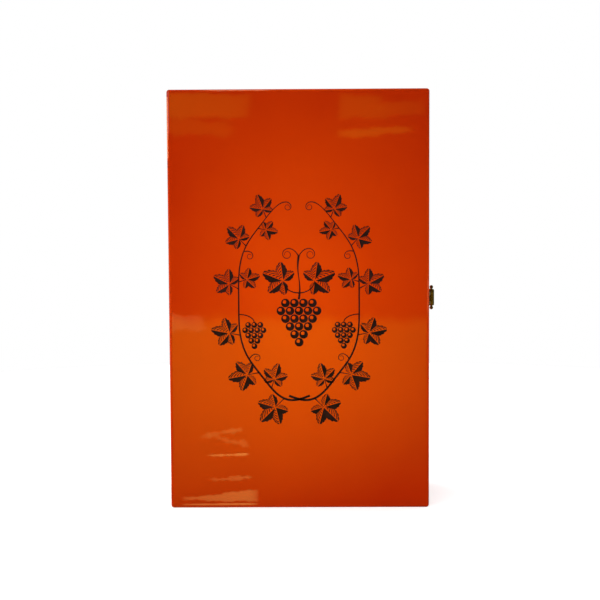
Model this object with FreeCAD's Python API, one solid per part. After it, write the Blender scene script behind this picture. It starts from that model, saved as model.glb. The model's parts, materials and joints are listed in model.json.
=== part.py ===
import FreeCAD
import Part
import math
import os

# A lacquered wine box for two bottles, standing on its foot end with the lid to the front.
# X runs to the right, Y from the lid towards the back, Z up, all in millimetres. The origin is the
# middle of the foot end. The lid hangs on the left side like a book cover, and a hasp shuts it on
# the right.

V = FreeCAD.Vector
RIGHT = V(1, 0, 0)
BACK = V(0, 1, 0)
UP = V(0, 0, 1)
DOWN = V(0, 0, -1)

# Sizes that serve every piece
overrun = 2.0            # how far a cutter runs past what it cuts
same_place = 1e-6        # two coordinates closer than this are one

# The bottle, and the well that is cut for it
bottle_radius = 38.0
bottle_neck_radius = 15.0
bottle_play = 1.5        # between glass and velvet, all round
well_body_length = 190.0
well_shoulder_length = 40.0
well_neck_length = 80.0

# The velvet cradle that holds the wells
cradle_margin = 10.7     # foam outside the wells
cradle_ridge = 17.0      # foam between the wells
cradle_floor = 8.0       # foam behind the wells
cradle_rise = 14.1       # from the bottles' axes to the cradle's front face
cradle_recess = 12.0     # from the cradle's front face up to the base's rim
cradle_clearance = 0.3
well_edge_radius = 2.5

# The lacquered boards
wall_thickness = 9.0
front_panel_thickness = 9.0
back_panel_thickness = 9.0
lid_depth = 32.0
rim_gap = 0.4            # the hairline between lid and base
edge_radius = 2.0        # outside edges
rim_edge_radius = 0.8    # where the lid meets the base

# The lining boards, which stand out of the base as a lip that locates the lid
lining_thickness = 2.5
lip_height = 5.0
lip_clearance = 0.5

# The padded panel inside the lid
pad_thickness = 6.0
pad_clearance = 0.6
pad_edge_radius = 4.0
pad_corner_radius = 6.0

# The two butt hinges
hinge_length = 30.0
hinge_inset = 62.0       # from the box's end to the hinge's middle
hinge_axis_offset = 0.6  # how far the pin stands outside the wall
hinge_knuckle_radius = 2.0
hinge_pin_radius = 0.9
hinge_leaf_thickness = 1.0
hinge_leaf_margin = 1.4  # from the leaf's edge to the wall's inner face
hinge_screw_margin = 6.0  # from the leaf's end to its screw
hinge_pin_head_radius = 1.4
hinge_pin_head_height = 0.7

# Running clearances of both kinds of hinge
pin_clearance = 0.05
knuckle_clearance = 0.3
knuckle_end_gap = 0.15

# The wood screws
leaf_screw_head_radius = 1.7
leaf_screw_length = 10.0
plate_screw_head_radius = 1.75
plate_screw_head_height = 1.2
plate_screw_cover = 2.0  # wood left beyond the tip of a hasp screw
screw_shank_radius = 0.9
screw_tip_length = 2.0
screw_slot_width = 0.5
screw_slot_depth = 0.6
screw_slot_length_share = 0.62   # of the head's diameter

# The hasp on the right wall, with its plate and barrel on the lid
hasp_plate_thickness = 0.9
hasp_plate_reach = 13.0  # from the barrel's axis to the plate's front end
hasp_plate_width = 13.0
hasp_plate_corner_radius = 3.0
hasp_screw_spacing = 8.0
hasp_screw_setback = 4.5  # from the plate's front end to its screws
hasp_barrel_setback = 6.0  # from the parting line to the barrel's axis
hasp_barrel_radius = 2.4
hasp_barrel_length = 14.2
hasp_barrel_end_radius = 1.2
hasp_middle_knuckle_length = 5.4
hasp_web_width = 2.8     # the roll that joins a knuckle to the plate
hasp_pin_radius = 0.9
hasp_pin_ball_radius = 1.55
hasp_pin_neck = 0.25     # bare pin between barrel and ball
hasp_strap_width = 11.2
hasp_strap_thickness = 1.0
hasp_strap_lift = 0.4    # between strap and catch plate
hasp_strap_start_gap = 0.4  # between the strap's wide part and the barrel
hasp_lip_radius = 1.6
hasp_lip_corner_radius = 0.8
hasp_lip_straight = 0.4  # before the lip's corners are rounded off

# The catch on the base that the hasp's strap drops over
catch_plate_setback = 2.2  # from the parting line
catch_plate_length = 12.8
catch_plate_corner_radius = 4.0
catch_screw_gap = 0.65   # between the strap's edge and a screw's head
catch_screw_margin = 2.5  # from a screw's middle to the plate's end
knob_setback = 8.6       # from the parting line to the knob
knob_ball_radius = 2.1
knob_stem_radius = 1.3
knob_rise = 2.8          # from the wall to the ball's middle
knob_hole_clearance = 0.25
strap_end_setback = 13.2  # from the parting line to where the strap's lip begins

# Sizes that follow from those above
well_radius = bottle_radius + bottle_play
neck_well_radius = bottle_neck_radius + bottle_play
well_length = well_body_length + well_shoulder_length + well_neck_length
inner_half_width = cradle_ridge / 2 + 2 * well_radius + cradle_margin + cradle_clearance + lining_thickness
half_width = inner_half_width + wall_thickness
box_width = 2 * half_width
box_height = well_length + 2 * (cradle_margin + cradle_clearance + lining_thickness + wall_thickness)
base_depth = back_panel_thickness + cradle_floor + well_radius + cradle_rise + cradle_recess
box_depth = lid_depth + rim_gap + base_depth

front_y = -box_depth / 2
lid_rim_y = front_y + lid_depth
base_rim_y = lid_rim_y + rim_gap
parting_y = (lid_rim_y + base_rim_y) / 2
back_y = box_depth / 2
lid_inside_y = front_y + front_panel_thickness
base_inside_y = back_y - back_panel_thickness
lip_y = base_rim_y - lip_height
cradle_front_y = base_rim_y + cradle_recess
bottle_axis_y = cradle_front_y + cradle_rise
bottle_axis_x = cradle_ridge / 2 + well_radius
well_foot_z = wall_thickness + lining_thickness + cradle_clearance + cradle_margin

hinge_x = -half_width - hinge_axis_offset
hinge_heights = {"upper": box_height - hinge_inset, "lower": hinge_inset}
hinge_leaf_x = -inner_half_width - hinge_leaf_margin
knuckle_room = hinge_knuckle_radius + knuckle_clearance
plate_screw_length = wall_thickness - plate_screw_cover

hasp_z = box_height / 2
hasp_axis_x = half_width + hasp_plate_thickness + hasp_barrel_radius
hasp_axis_y = parting_y - hasp_barrel_setback
strap_inside_x = half_width + hasp_plate_thickness + hasp_strap_lift
strap_outside_x = strap_inside_x + hasp_strap_thickness
catch_screw_spacing = hasp_strap_width + 2 * (catch_screw_gap + plate_screw_head_radius)
catch_plate_width = catch_screw_spacing + 2 * catch_screw_margin


def block(x_span, y_span, z_span):
    """A box between three pairs of coordinates, each given in either order."""
    low = V(min(x_span), min(y_span), min(z_span))
    high = V(max(x_span), max(y_span), max(z_span))
    size = high - low
    return Part.makeBox(size.x, size.y, size.z, low)


def either_side(middle, width):
    """The two coordinates half a width to either side of a middle."""
    return middle - width / 2, middle + width / 2


def rod(radius, start, end):
    """A round bar from one point to another."""
    way = end - start
    return Part.makeCylinder(radius, way.Length, start, way)


def upright_rod(radius, x, y, z_span):
    """A round bar that stands up between two heights."""
    return rod(radius, V(x, y, min(z_span)), V(x, y, max(z_span)))


def flat(corners):
    """The flat face between corner points, taken in order."""
    return Part.Face(Part.makePolygon([*corners, corners[0]]))


def single(shape):
    """The one solid that a cut or a join leaves."""
    solids = shape.removeSplitter().Solids
    if len(solids) != 1:
        raise ValueError(f"expected one solid and found {len(solids)}")
    return solids[0]


def ends(edge):
    """The points at the two ends of an edge."""
    return edge.Vertexes[0].Point, edge.Vertexes[-1].Point


def runs_along(edge, direction):
    """Whether an edge lies along a direction."""
    first, last = ends(edge)
    return (last - first).cross(direction).Length < same_place < (last - first).Length


def lies_at_y(edge, y):
    """Whether both ends of an edge lie in the plane of one depth."""
    return all(abs(point.y - y) < same_place for point in ends(edge))


def rounded(shape, radius, wanted):
    """A copy of a shape with each edge that the test picks rounded off."""
    return shape.makeFillet(radius, [edge for edge in shape.Edges if wanted(edge)])


def lacquered_half(face_y, rim_y):
    """The outside form of the lid or the base as one rounded block, from its big face to its rim."""
    body = block((-half_width, half_width), (face_y, rim_y), (0, box_height))
    body = rounded(body, edge_radius, lambda edge: runs_along(edge, BACK) or lies_at_y(edge, face_y))
    return rounded(body, rim_edge_radius, lambda edge: lies_at_y(edge, rim_y))


def boards_of_half(half, face_y, rim_y, panel_thickness):
    """Cuts a rounded half into its face panel and its four walls, which meet in mitres."""
    inward = math.copysign(1, rim_y - face_y)
    seam_y = face_y + inward * panel_thickness
    outer = [(-half_width, 0), (half_width, 0), (half_width, box_height), (-half_width, box_height)]
    inner = [
        (math.copysign(inner_half_width, x), wall_thickness if z == 0 else z - wall_thickness)
        for x, z in outer
    ]
    wide = (-half_width - overrun, half_width + overrun)
    tall = (-overrun, box_height + overrun)
    boards = {"panel": single(half.common(block(wide, (face_y - inward * overrun, seam_y), tall)))}
    for index, side in enumerate(("bottom", "right", "top", "left")):
        following = (index + 1) % len(outer)
        corners = (outer[index], outer[following], inner[following], inner[index])
        trapezium = flat([V(x, seam_y, z) for x, z in corners])
        boards[side] = single(half.common(trapezium.extrude(BACK * (rim_y - seam_y))))
    return boards


def lining_boards():
    """The four boards round the inside of the base, trimmed back where they stand out as a lip."""
    inside = (wall_thickness, box_height - wall_thickness)
    depth = (lip_y, base_inside_y)
    past_rim = (lip_y - overrun, base_rim_y)
    trim = block((-half_width, half_width), past_rim, (0, box_height)).cut(
        block(
            either_side(0, 2 * (inner_half_width - lip_clearance)),
            (lip_y - 2 * overrun, base_rim_y + overrun),
            (inside[0] + lip_clearance, inside[1] - lip_clearance),
        )
    )
    side_x = inner_half_width - lining_thickness
    plain = {
        "left": block((-inner_half_width, -side_x), depth, inside),
        "right": block((side_x, inner_half_width), depth, inside),
        "bottom": block((-side_x, side_x), depth, (inside[0], inside[0] + lining_thickness)),
        "top": block((-side_x, side_x), depth, (inside[1] - lining_thickness, inside[1])),
    }
    return {side: single(board.cut(trim)) for side, board in plain.items()}


def half_bottle_face(axis_x, side):
    """Half of a bottle's outline, from its axis out to one side, as a flat face facing the front."""
    step = well_radius - neck_well_radius
    bend = (step**2 + well_shoulder_length**2) / (4 * step)
    turn = math.asin(well_shoulder_length / 2 / bend)
    shoulder_z = well_foot_z + well_body_length
    neck_z = shoulder_z + well_shoulder_length
    tip_z = neck_z + well_neck_length

    def at(radius, z):
        return V(axis_x + side * radius, bottle_axis_y, z)

    half_turn = turn / 2
    dip = bend * (1 - math.cos(half_turn))
    climb = bend * math.sin(half_turn)
    middle = at(well_radius - step / 2, shoulder_z + well_shoulder_length / 2)
    outline = [
        Part.LineSegment(at(0, well_foot_z), at(well_radius, well_foot_z)),
        Part.LineSegment(at(well_radius, well_foot_z), at(well_radius, shoulder_z)),
        Part.Arc(at(well_radius, shoulder_z), at(well_radius - dip, shoulder_z + climb), middle),
        Part.Arc(middle, at(neck_well_radius + dip, neck_z - climb), at(neck_well_radius, neck_z)),
        Part.LineSegment(at(neck_well_radius, neck_z), at(neck_well_radius, tip_z)),
        Part.LineSegment(at(neck_well_radius, tip_z), at(0, tip_z)),
        Part.LineSegment(at(0, tip_z), at(0, well_foot_z)),
    ]
    return Part.Face(Part.Wire([curve.toShape() for curve in outline]))


def bottle_cradle():
    """The foam block with two bottle-shaped wells, open to the front."""
    half_x = inner_half_width - lining_thickness - cradle_clearance
    low_z = wall_thickness + lining_thickness + cradle_clearance
    body = block((-half_x, half_x), (cradle_front_y, base_inside_y), (low_z, box_height - low_z))
    way_out = BACK * -(cradle_rise + overrun)
    for axis_x in (-bottle_axis_x, bottle_axis_x):
        body = body.cut(half_bottle_face(axis_x, 1).revolve(V(axis_x, bottle_axis_y, 0), UP, 360))
        for side in (-1, 1):
            body = body.cut(half_bottle_face(axis_x, side).extrude(way_out))
    body = single(body)

    def at_a_mouth(edge):
        middle = edge.CenterOfMass
        return lies_at_y(edge, cradle_front_y) and abs(middle.x) < half_x - same_place and (
            low_z + same_place < middle.z < box_height - low_z - same_place
        )

    return rounded(body, well_edge_radius, at_a_mouth)


def lid_pad():
    """The padded panel glued inside the lid, with soft edges towards the bottles."""
    half_x = inner_half_width - pad_clearance
    low_z = wall_thickness + pad_clearance
    pad_y = lid_inside_y + pad_thickness
    pad = block((-half_x, half_x), (lid_inside_y, pad_y), (low_z, box_height - low_z))
    pad = rounded(pad, pad_corner_radius, lambda edge: runs_along(edge, BACK))
    return rounded(pad, pad_edge_radius, lambda edge: lies_at_y(edge, pad_y))


def screw_blank(head_radius, head_height, length, domed):
    """A wood screw with no slot, its head's seat at the origin and its tip down -Z.

    A domed head stands above the seat, and a flat one is sunk below it as a cone.
    """
    straight_end = -length + screw_tip_length
    if domed:
        crown = (head_radius**2 + head_height**2) / (2 * head_height)
        half_angle = math.asin(head_radius / crown) / 2
        shoulder = V(crown * math.sin(half_angle), 0, head_height - crown * (1 - math.cos(half_angle)))
        top, rim, neck = V(0, 0, head_height), V(head_radius, 0, 0), V(screw_shank_radius, 0, 0)
        head = [Part.Arc(top, shoulder, rim)]
    else:
        top, rim, neck = V(0, 0, 0), V(head_radius, 0, 0), V(screw_shank_radius, 0, -head_height)
        head = [Part.LineSegment(top, rim)]
    shank_end = V(screw_shank_radius, 0, straight_end)
    tip = V(0, 0, -length)
    corners = [rim, neck, shank_end, tip, top]
    outline = head + [Part.LineSegment(a, b) for a, b in zip(corners, corners[1:])]
    face = Part.Face(Part.Wire([curve.toShape() for curve in outline]))
    return single(face.revolve(V(0, 0, 0), UP, 360))


def slotted(blank, head_radius, top_z):
    """A screw blank with a cross cut into its head."""
    reach = 2 * head_radius * screw_slot_length_share
    deep = (top_z - screw_slot_depth, top_z + overrun)
    across = either_side(0, reach)
    thin = either_side(0, screw_slot_width)
    return single(blank.cut(block(across, thin, deep)).cut(block(thin, across, deep)))


def placed(shape, place, head_direction):
    """A copy of a screw moved to a place, with its head turned to face a direction."""
    copy = shape.copy()
    copy.Placement = FreeCAD.Placement(place, FreeCAD.Rotation(UP, head_direction))
    return copy


leaf_blank = screw_blank(leaf_screw_head_radius, hinge_leaf_thickness, leaf_screw_length, domed=False)
leaf_screw = slotted(leaf_blank, leaf_screw_head_radius, 0)
plate_blank = screw_blank(plate_screw_head_radius, plate_screw_head_height, plate_screw_length, domed=True)
plate_screw = slotted(plate_blank, plate_screw_head_radius, plate_screw_head_height)


def hinge_knuckle_spans(middle_z):
    """The heights of a hinge's knuckles: the lid's in the middle and the base's above and below it."""
    third = hinge_length / 3
    lid_span = either_side(middle_z, third - knuckle_end_gap)
    low, high = either_side(middle_z, hinge_length)
    base_spans = [(low, low + third), (high - third, high)]
    return {"lid": [lid_span], "base": base_spans}


def hinge_leaf(middle_z, body):
    """One leaf with its knuckles and screw holes, let into the rim of the lid or of the base."""
    rim_y = lid_rim_y if body == "lid" else base_rim_y
    into_wall = -1 if body == "lid" else 1
    leaf = block(
        (hinge_x, hinge_leaf_x),
        (rim_y, rim_y + into_wall * hinge_leaf_thickness),
        either_side(middle_z, hinge_length),
    )
    spans = hinge_knuckle_spans(middle_z)
    other = "base" if body == "lid" else "lid"
    for low, high in spans[other]:
        room = (low - knuckle_end_gap, high + knuckle_end_gap)
        leaf = leaf.cut(upright_rod(knuckle_room, hinge_x, parting_y, room))
    for span in spans[body]:
        leaf = leaf.fuse(upright_rod(hinge_knuckle_radius, hinge_x, parting_y, span))
    full = either_side(middle_z, hinge_length + overrun)
    leaf = leaf.cut(upright_rod(hinge_pin_radius + pin_clearance, hinge_x, parting_y, full))
    for place in hinge_screw_places(middle_z, body):
        leaf = leaf.cut(placed(leaf_blank, place, BACK * -into_wall))
    return single(leaf)


def hinge_screw_places(middle_z, body):
    """Where the screws of one leaf sit, flush with the rim."""
    rim_y = lid_rim_y if body == "lid" else base_rim_y
    x = (hinge_x + knuckle_room + hinge_leaf_x) / 2
    spacing = hinge_length - 2 * hinge_screw_margin
    return [V(x, rim_y, z) for z in either_side(middle_z, spacing)]


def hinge_pin(middle_z):
    """A hinge's pin with a button head at each end."""
    low, high = either_side(middle_z, hinge_length)
    pin = upright_rod(hinge_pin_radius, hinge_x, parting_y, (low, high))
    for start, outward in ((low, -1), (high, 1)):
        head = (start, start + outward * hinge_pin_head_height)
        pin = pin.fuse(upright_rod(hinge_pin_head_radius, hinge_x, parting_y, head))
    return single(pin)


def hinge_cutters(middle_z, body):
    """What a wall loses to one hinge: the leaf's bed, the barrel's groove and the screw holes."""
    rim_y = lid_rim_y if body == "lid" else base_rim_y
    into_wall = -1 if body == "lid" else 1
    bed = block(
        (hinge_x, hinge_leaf_x),
        (rim_y - into_wall * overrun, rim_y + into_wall * hinge_leaf_thickness),
        either_side(middle_z, hinge_length),
    )
    groove_length = hinge_length + 2 * (hinge_pin_head_height + knuckle_clearance)
    groove = upright_rod(knuckle_room, hinge_x, parting_y, either_side(middle_z, groove_length))
    screws = [placed(leaf_blank, p, BACK * -into_wall) for p in hinge_screw_places(middle_z, body)]
    return [bed, groove, *screws]


def hasp_barrel():
    """The whole hasp barrel with softened ends, before it is cut into knuckles."""
    z_span = either_side(hasp_z, hasp_barrel_length)
    barrel = upright_rod(hasp_barrel_radius, hasp_axis_x, hasp_axis_y, z_span)
    return barrel.makeFillet(hasp_barrel_end_radius, [edge for edge in barrel.Edges if edge.Closed])


def barrel_slice(z_span):
    """The part of the hasp barrel between two heights."""
    reach = hasp_barrel_radius + overrun
    across = (hasp_axis_x - reach, hasp_axis_x + reach)
    along = (hasp_axis_y - reach, hasp_axis_y + reach)
    return hasp_barrel().common(block(across, along, z_span))


def hasp_bore():
    """The cutter for the hasp pin's hole."""
    z_span = either_side(hasp_z, hasp_barrel_length + 2 * overrun)
    return upright_rod(hasp_pin_radius + pin_clearance, hasp_axis_x, hasp_axis_y, z_span)


def hasp_lid_screw_places():
    """Where the two screws of the hasp's lid plate sit on the plate."""
    y = hasp_axis_y - hasp_plate_reach + hasp_screw_setback
    x = half_width + hasp_plate_thickness
    return [V(x, y, z) for z in either_side(hasp_z, hasp_screw_spacing)]


def hasp_lid_plate():
    """The plate on the lid's right wall, with the two outer knuckles of the barrel."""
    skin = (half_width, half_width + hasp_plate_thickness)
    far_y = hasp_axis_y - hasp_plate_reach
    tail_y = hasp_axis_y + hasp_web_width / 2
    plate = block(skin, (far_y, tail_y), either_side(hasp_z, hasp_plate_width))
    plate = rounded(
        plate, hasp_plate_corner_radius, lambda edge: runs_along(edge, RIGHT) and lies_at_y(edge, far_y)
    )
    half_barrel = hasp_barrel_length / 2
    half_middle = hasp_middle_knuckle_length / 2 + knuckle_end_gap
    web_y = either_side(hasp_axis_y, hasp_web_width)
    web_end = half_barrel - hasp_barrel_end_radius
    for side in (-1, 1):
        web_z = (hasp_z + side * half_middle, hasp_z + side * web_end)
        plate = plate.fuse(block((half_width, hasp_axis_x), web_y, web_z))
        knuckle_z = (hasp_z + side * half_middle, hasp_z + side * (half_barrel + overrun))
        plate = plate.fuse(barrel_slice(knuckle_z))
    room = either_side(hasp_z, 2 * half_middle)
    plate = plate.cut(upright_rod(hasp_barrel_radius + knuckle_clearance, hasp_axis_x, hasp_axis_y, room))
    plate = plate.cut(hasp_bore())
    for place in hasp_lid_screw_places():
        plate = plate.cut(placed(plate_blank, place, RIGHT))
    return single(plate)


def hasp_pin():
    """The hasp's pin, with a ball at each end."""
    ball_z = hasp_barrel_length / 2 + hasp_pin_neck + hasp_pin_ball_radius
    pin = upright_rod(hasp_pin_radius, hasp_axis_x, hasp_axis_y, either_side(hasp_z, 2 * ball_z))
    for z in either_side(hasp_z, 2 * ball_z):
        pin = pin.fuse(Part.makeSphere(hasp_pin_ball_radius, V(hasp_axis_x, hasp_axis_y, z)))
    return single(pin)


def hasp_strap():
    """The swinging strap: its knuckle, a flat leaf with the knob's hole, and a lip curled outwards."""
    thick = (strap_inside_x, strap_outside_x)
    wide = either_side(hasp_z, hasp_strap_width)
    knuckle_z = either_side(hasp_z, hasp_middle_knuckle_length)
    start_y = hasp_axis_y + hasp_barrel_radius + hasp_strap_start_gap
    end_y = parting_y + strap_end_setback
    strap = block(thick, (start_y, end_y), wide)
    strap = strap.fuse(block(thick, (hasp_axis_y, start_y), knuckle_z))
    strap = strap.fuse(barrel_slice(knuckle_z))
    curl_axis = V(strap_outside_x + hasp_lip_radius, end_y, 0)
    section = flat([
        V(thick[0], end_y, wide[0]),
        V(thick[1], end_y, wide[0]),
        V(thick[1], end_y, wide[1]),
        V(thick[0], end_y, wide[1]),
    ])
    strap = strap.fuse(section.revolve(curl_axis, DOWN, 90))
    tip_x = (curl_axis.x, curl_axis.x + hasp_lip_straight + hasp_lip_corner_radius)
    tip_y = (end_y + hasp_lip_radius, end_y + hasp_lip_radius + hasp_strap_thickness)
    tip = block(tip_x, tip_y, wide)
    tip = rounded(
        tip,
        hasp_lip_corner_radius,
        lambda edge: runs_along(edge, BACK) and abs(edge.CenterOfMass.x - tip_x[1]) < same_place,
    )
    strap = strap.fuse(tip)
    knob_y = parting_y + knob_setback
    knob_way = [V(x, knob_y, hasp_z) for x in (half_width, hasp_axis_x)]
    strap = strap.cut(rod(knob_ball_radius + knob_hole_clearance, *knob_way))
    return single(strap.cut(hasp_bore()))


def catch_screw_places():
    """Where the two screws of the catch plate sit, beside the strap."""
    x = half_width + hasp_plate_thickness
    y = parting_y + knob_setback
    return [V(x, y, z) for z in either_side(hasp_z, catch_screw_spacing)]


def catch_plate():
    """The plate on the base's right wall that carries the knob."""
    near_y = parting_y + catch_plate_setback
    plate = block(
        (half_width, half_width + hasp_plate_thickness),
        (near_y, near_y + catch_plate_length),
        either_side(hasp_z, catch_plate_width),
    )
    plate = rounded(plate, catch_plate_corner_radius, lambda edge: runs_along(edge, RIGHT))
    for place in catch_screw_places():
        plate = plate.cut(placed(plate_blank, place, RIGHT))
    return single(plate.cut(catch_knob()))


def catch_knob():
    """The ball that the strap's hole drops over, with the stem that holds it in the wall."""
    ball = V(half_width + knob_rise, parting_y + knob_setback, hasp_z)
    foot = V(half_width + hasp_plate_thickness - plate_screw_length, ball.y, ball.z)
    return single(rod(knob_stem_radius, foot, ball).fuse(Part.makeSphere(knob_ball_radius, ball)))


def without(board, cutters):
    """A board with each cutter taken out of it."""
    for cutter in cutters:
        board = board.cut(cutter)
    return single(board)


def all_hinge_screws(body):
    """The screws of both hinges in the lid or in the base, as one group of separate solids."""
    outward = BACK if body == "lid" else BACK * -1
    places = [place for z in hinge_heights.values() for place in hinge_screw_places(z, body)]
    return Part.makeCompound([placed(leaf_screw, place, outward) for place in places])


def build_nodes():
    """Every piece of the box, by its node's name."""
    nodes = {}
    halves = {
        "lid": (front_y, lid_rim_y, front_panel_thickness, "lid_front_panel"),
        "base": (back_y, base_rim_y, back_panel_thickness, "base_back_panel"),
    }
    for body, (face_y, rim_y, thickness, panel_name) in halves.items():
        boards = boards_of_half(lacquered_half(face_y, rim_y), face_y, rim_y, thickness)
        nodes[panel_name] = boards.pop("panel")
        for side, board in boards.items():
            nodes[f"{body}_{side}_wall"] = board
        bites = [cutter for z in hinge_heights.values() for cutter in hinge_cutters(z, body)]
        nodes[f"{body}_left_wall"] = without(nodes[f"{body}_left_wall"], bites)
        nodes[f"hinge_{body}_screws"] = all_hinge_screws(body)
        for level, z in hinge_heights.items():
            nodes[f"{level}_hinge_{body}_leaf"] = hinge_leaf(z, body)
    for level, z in hinge_heights.items():
        nodes[f"{level}_hinge_pin"] = hinge_pin(z)

    for side, board in lining_boards().items():
        nodes[f"base_{side}_lining"] = board
    nodes["bottle_cradle"] = bottle_cradle()
    nodes["lid_lining_pad"] = lid_pad()

    lid_holes = [placed(plate_blank, place, RIGHT) for place in hasp_lid_screw_places()]
    catch_holes = [placed(plate_blank, place, RIGHT) for place in catch_screw_places()]
    nodes["lid_right_wall"] = without(nodes["lid_right_wall"], lid_holes)
    nodes["base_right_wall"] = without(nodes["base_right_wall"], [*catch_holes, catch_knob()])
    nodes["hasp_lid_plate"] = hasp_lid_plate()
    nodes["hasp_hinge_pin"] = hasp_pin()
    nodes["hasp_strap"] = hasp_strap()
    nodes["hasp_catch_plate"] = catch_plate()
    nodes["hasp_knob"] = catch_knob()
    for name, places in (("lid", hasp_lid_screw_places()), ("catch", catch_screw_places())):
        screws = [placed(plate_screw, place, RIGHT) for place in places]
        nodes[f"hasp_{name}_screws"] = Part.makeCompound(screws)
    return nodes


def main():
    """Writes one file for each piece and prints the overall size."""
    os.makedirs("parts", exist_ok=True)
    for name, shape in build_nodes().items():
        if not shape.isValid():
            raise ValueError(f"{name} is not a valid shape")
        shape.exportStep(f"parts/{name}.step")
        print(f"{name}: {len(shape.Solids)} solid(s), {shape.Volume:.1f} mm3")
    print(f"box: {box_width:.1f} wide, {box_depth:.1f} deep, {box_height:.1f} high")


main()
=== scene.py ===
"""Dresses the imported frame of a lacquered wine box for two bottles.

The lid and the base become seamless lacquered shells, the lid carries a printed vine, the inside is lined
with velvet and satin, and the brass hinges and hasp keep their CAD shapes. Sizes are in millimetres, in the
frame of the CAD part: X to the right, Y from the lid to the back, Z up.
"""

from __future__ import annotations

import json
import logging
import math
from dataclasses import dataclass, field
from enum import Enum, auto
from functools import partial
from typing import Any, Callable, Union

import bmesh
import bpy
import numpy as np
from bpy.types import Material, Node, NodeSocket, NodeTree, Object
from mathutils import Matrix, Vector


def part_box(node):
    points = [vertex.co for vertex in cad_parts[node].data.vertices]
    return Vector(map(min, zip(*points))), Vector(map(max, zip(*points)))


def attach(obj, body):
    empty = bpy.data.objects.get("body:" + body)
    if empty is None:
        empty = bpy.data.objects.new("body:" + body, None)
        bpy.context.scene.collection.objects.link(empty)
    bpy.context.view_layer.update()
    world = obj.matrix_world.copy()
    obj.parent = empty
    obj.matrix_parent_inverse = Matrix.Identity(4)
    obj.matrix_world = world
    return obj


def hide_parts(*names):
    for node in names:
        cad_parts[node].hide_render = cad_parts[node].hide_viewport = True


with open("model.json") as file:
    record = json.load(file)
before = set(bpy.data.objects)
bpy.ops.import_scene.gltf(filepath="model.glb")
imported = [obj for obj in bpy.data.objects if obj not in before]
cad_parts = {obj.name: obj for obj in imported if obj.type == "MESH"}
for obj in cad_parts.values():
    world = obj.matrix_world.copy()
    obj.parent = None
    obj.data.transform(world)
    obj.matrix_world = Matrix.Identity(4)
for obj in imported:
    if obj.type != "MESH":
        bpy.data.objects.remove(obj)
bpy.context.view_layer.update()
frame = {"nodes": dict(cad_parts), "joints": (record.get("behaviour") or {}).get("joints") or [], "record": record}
MM = 0.001
SIDES = ("left", "right", "top", "bottom")
LOG = logging.getLogger("wine_box")
Source = Union[Node, NodeSocket]
Adder = Callable[..., Node]


def linear(hex_colour: str) -> tuple[float, float, float, float]:
    """Turns an sRGB hex colour into the linear colour that a shader takes.

    Args:
        hex_colour: six hex digits after a hash sign.

    Returns:
        Red, green and blue in linear light, and an alpha of one.
    """
    srgb = np.array([int(hex_colour[start:start + 2], 16) for start in (1, 3, 5)]) / 255
    light = np.where(srgb <= 0.04045, srgb / 12.92, ((srgb + 0.055) / 1.055) ** 2.4)
    return (*light.tolist(), 1.0)


def per_metre(size_mm: float) -> float:
    """The scale of a texture on coordinates in metres whose features are of this size."""
    return 1 / (size_mm * MM)


def add_node(
    tree: NodeTree,
    kind: str,
    settings: dict[Any, Any] | None = None,
    links: dict[Any, Source] | None = None,
) -> Node:
    """Adds one node with its settings and links.

    Args:
        tree: the node tree that gets the node.
        kind: the node's type name.
        settings: values by the name of a property of the node, or else by the name or number of an input; a
            colour ramp's stops are pairs of a position and a hex colour.
        links: what feeds the node, by the name or number of the input: a socket, or a node's first socket.

    Returns:
        The new node.
    """
    node = tree.nodes.new(kind)
    for name, value in (settings or {}).items():
        if name == "stops":
            for stop, (position, colour) in zip(node.color_ramp.elements, value):
                stop.position = position
                stop.color = linear(colour)
        elif isinstance(name, str) and hasattr(node, name):
            setattr(node, name, value)
        else:
            node.inputs[name].default_value = value
    for name, source in (links or {}).items():
        socket = source.outputs[0] if isinstance(source, Node) else source
        tree.links.new(socket, node.inputs[name])
    return node


def directions(angles: np.ndarray) -> np.ndarray:
    """The unit vectors at these angles, in radians."""
    return np.stack([np.cos(angles), np.sin(angles)], axis=-1)


def node_span(node: str) -> np.ndarray:
    """The lowest and highest corners of a CAD node at rest, in millimetres, as two rows."""
    return np.array([list(corner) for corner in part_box(node)]) / MM


@dataclass
class Surface:
    """Points in millimetres and the faces between them.

    Attributes:
        points: one row of X, Y and Z for each point.
        faces: the corner numbers of each face.
    """

    points: np.ndarray
    faces: list[list[int]]

    @classmethod
    def grid(cls, points: np.ndarray, wrap_rows: bool = False, wrap_columns: bool = False) -> Surface:
        """Makes quads between neighbours on one grid of points, or on many alike.

        Args:
            points: rows by columns by three, with any axes of separate grids before them.
            wrap_rows: whether the last row joins the first.
            wrap_columns: whether the last column joins the first.

        Returns:
            The surface of all the grids.
        """
        rows, columns = points.shape[-3:-1]
        index = np.arange(points.size // 3).reshape(-1, rows, columns)
        if wrap_rows:
            index = np.concatenate([index, index[:, :1]], axis=1)
        if wrap_columns:
            index = np.concatenate([index, index[:, :, :1]], axis=2)
        corners = [index[:, :-1, :-1], index[:, :-1, 1:], index[:, 1:, 1:], index[:, 1:, :-1]]
        return cls(points.reshape(-1, 3), np.stack(corners, axis=-1).reshape(-1, 4).tolist())

    @classmethod
    def joined(cls, surfaces: list[Surface]) -> Surface:
        """Puts several surfaces into one, with their faces renumbered.

        Args:
            surfaces: the ones to join.

        Returns:
            The joined surface.
        """
        counts = np.cumsum([0] + [len(surface.points) for surface in surfaces])
        faces = [
            [corner + int(start) for corner in face]
            for start, surface in zip(counts, surfaces)
            for face in surface.faces
        ]
        return cls(np.concatenate([surface.points for surface in surfaces]), faces)

    def capped(self, loop: np.ndarray) -> Surface:
        """The same surface with one more face, round a loop of point numbers."""
        return Surface(self.points, [*self.faces, loop.tolist()])


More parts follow.
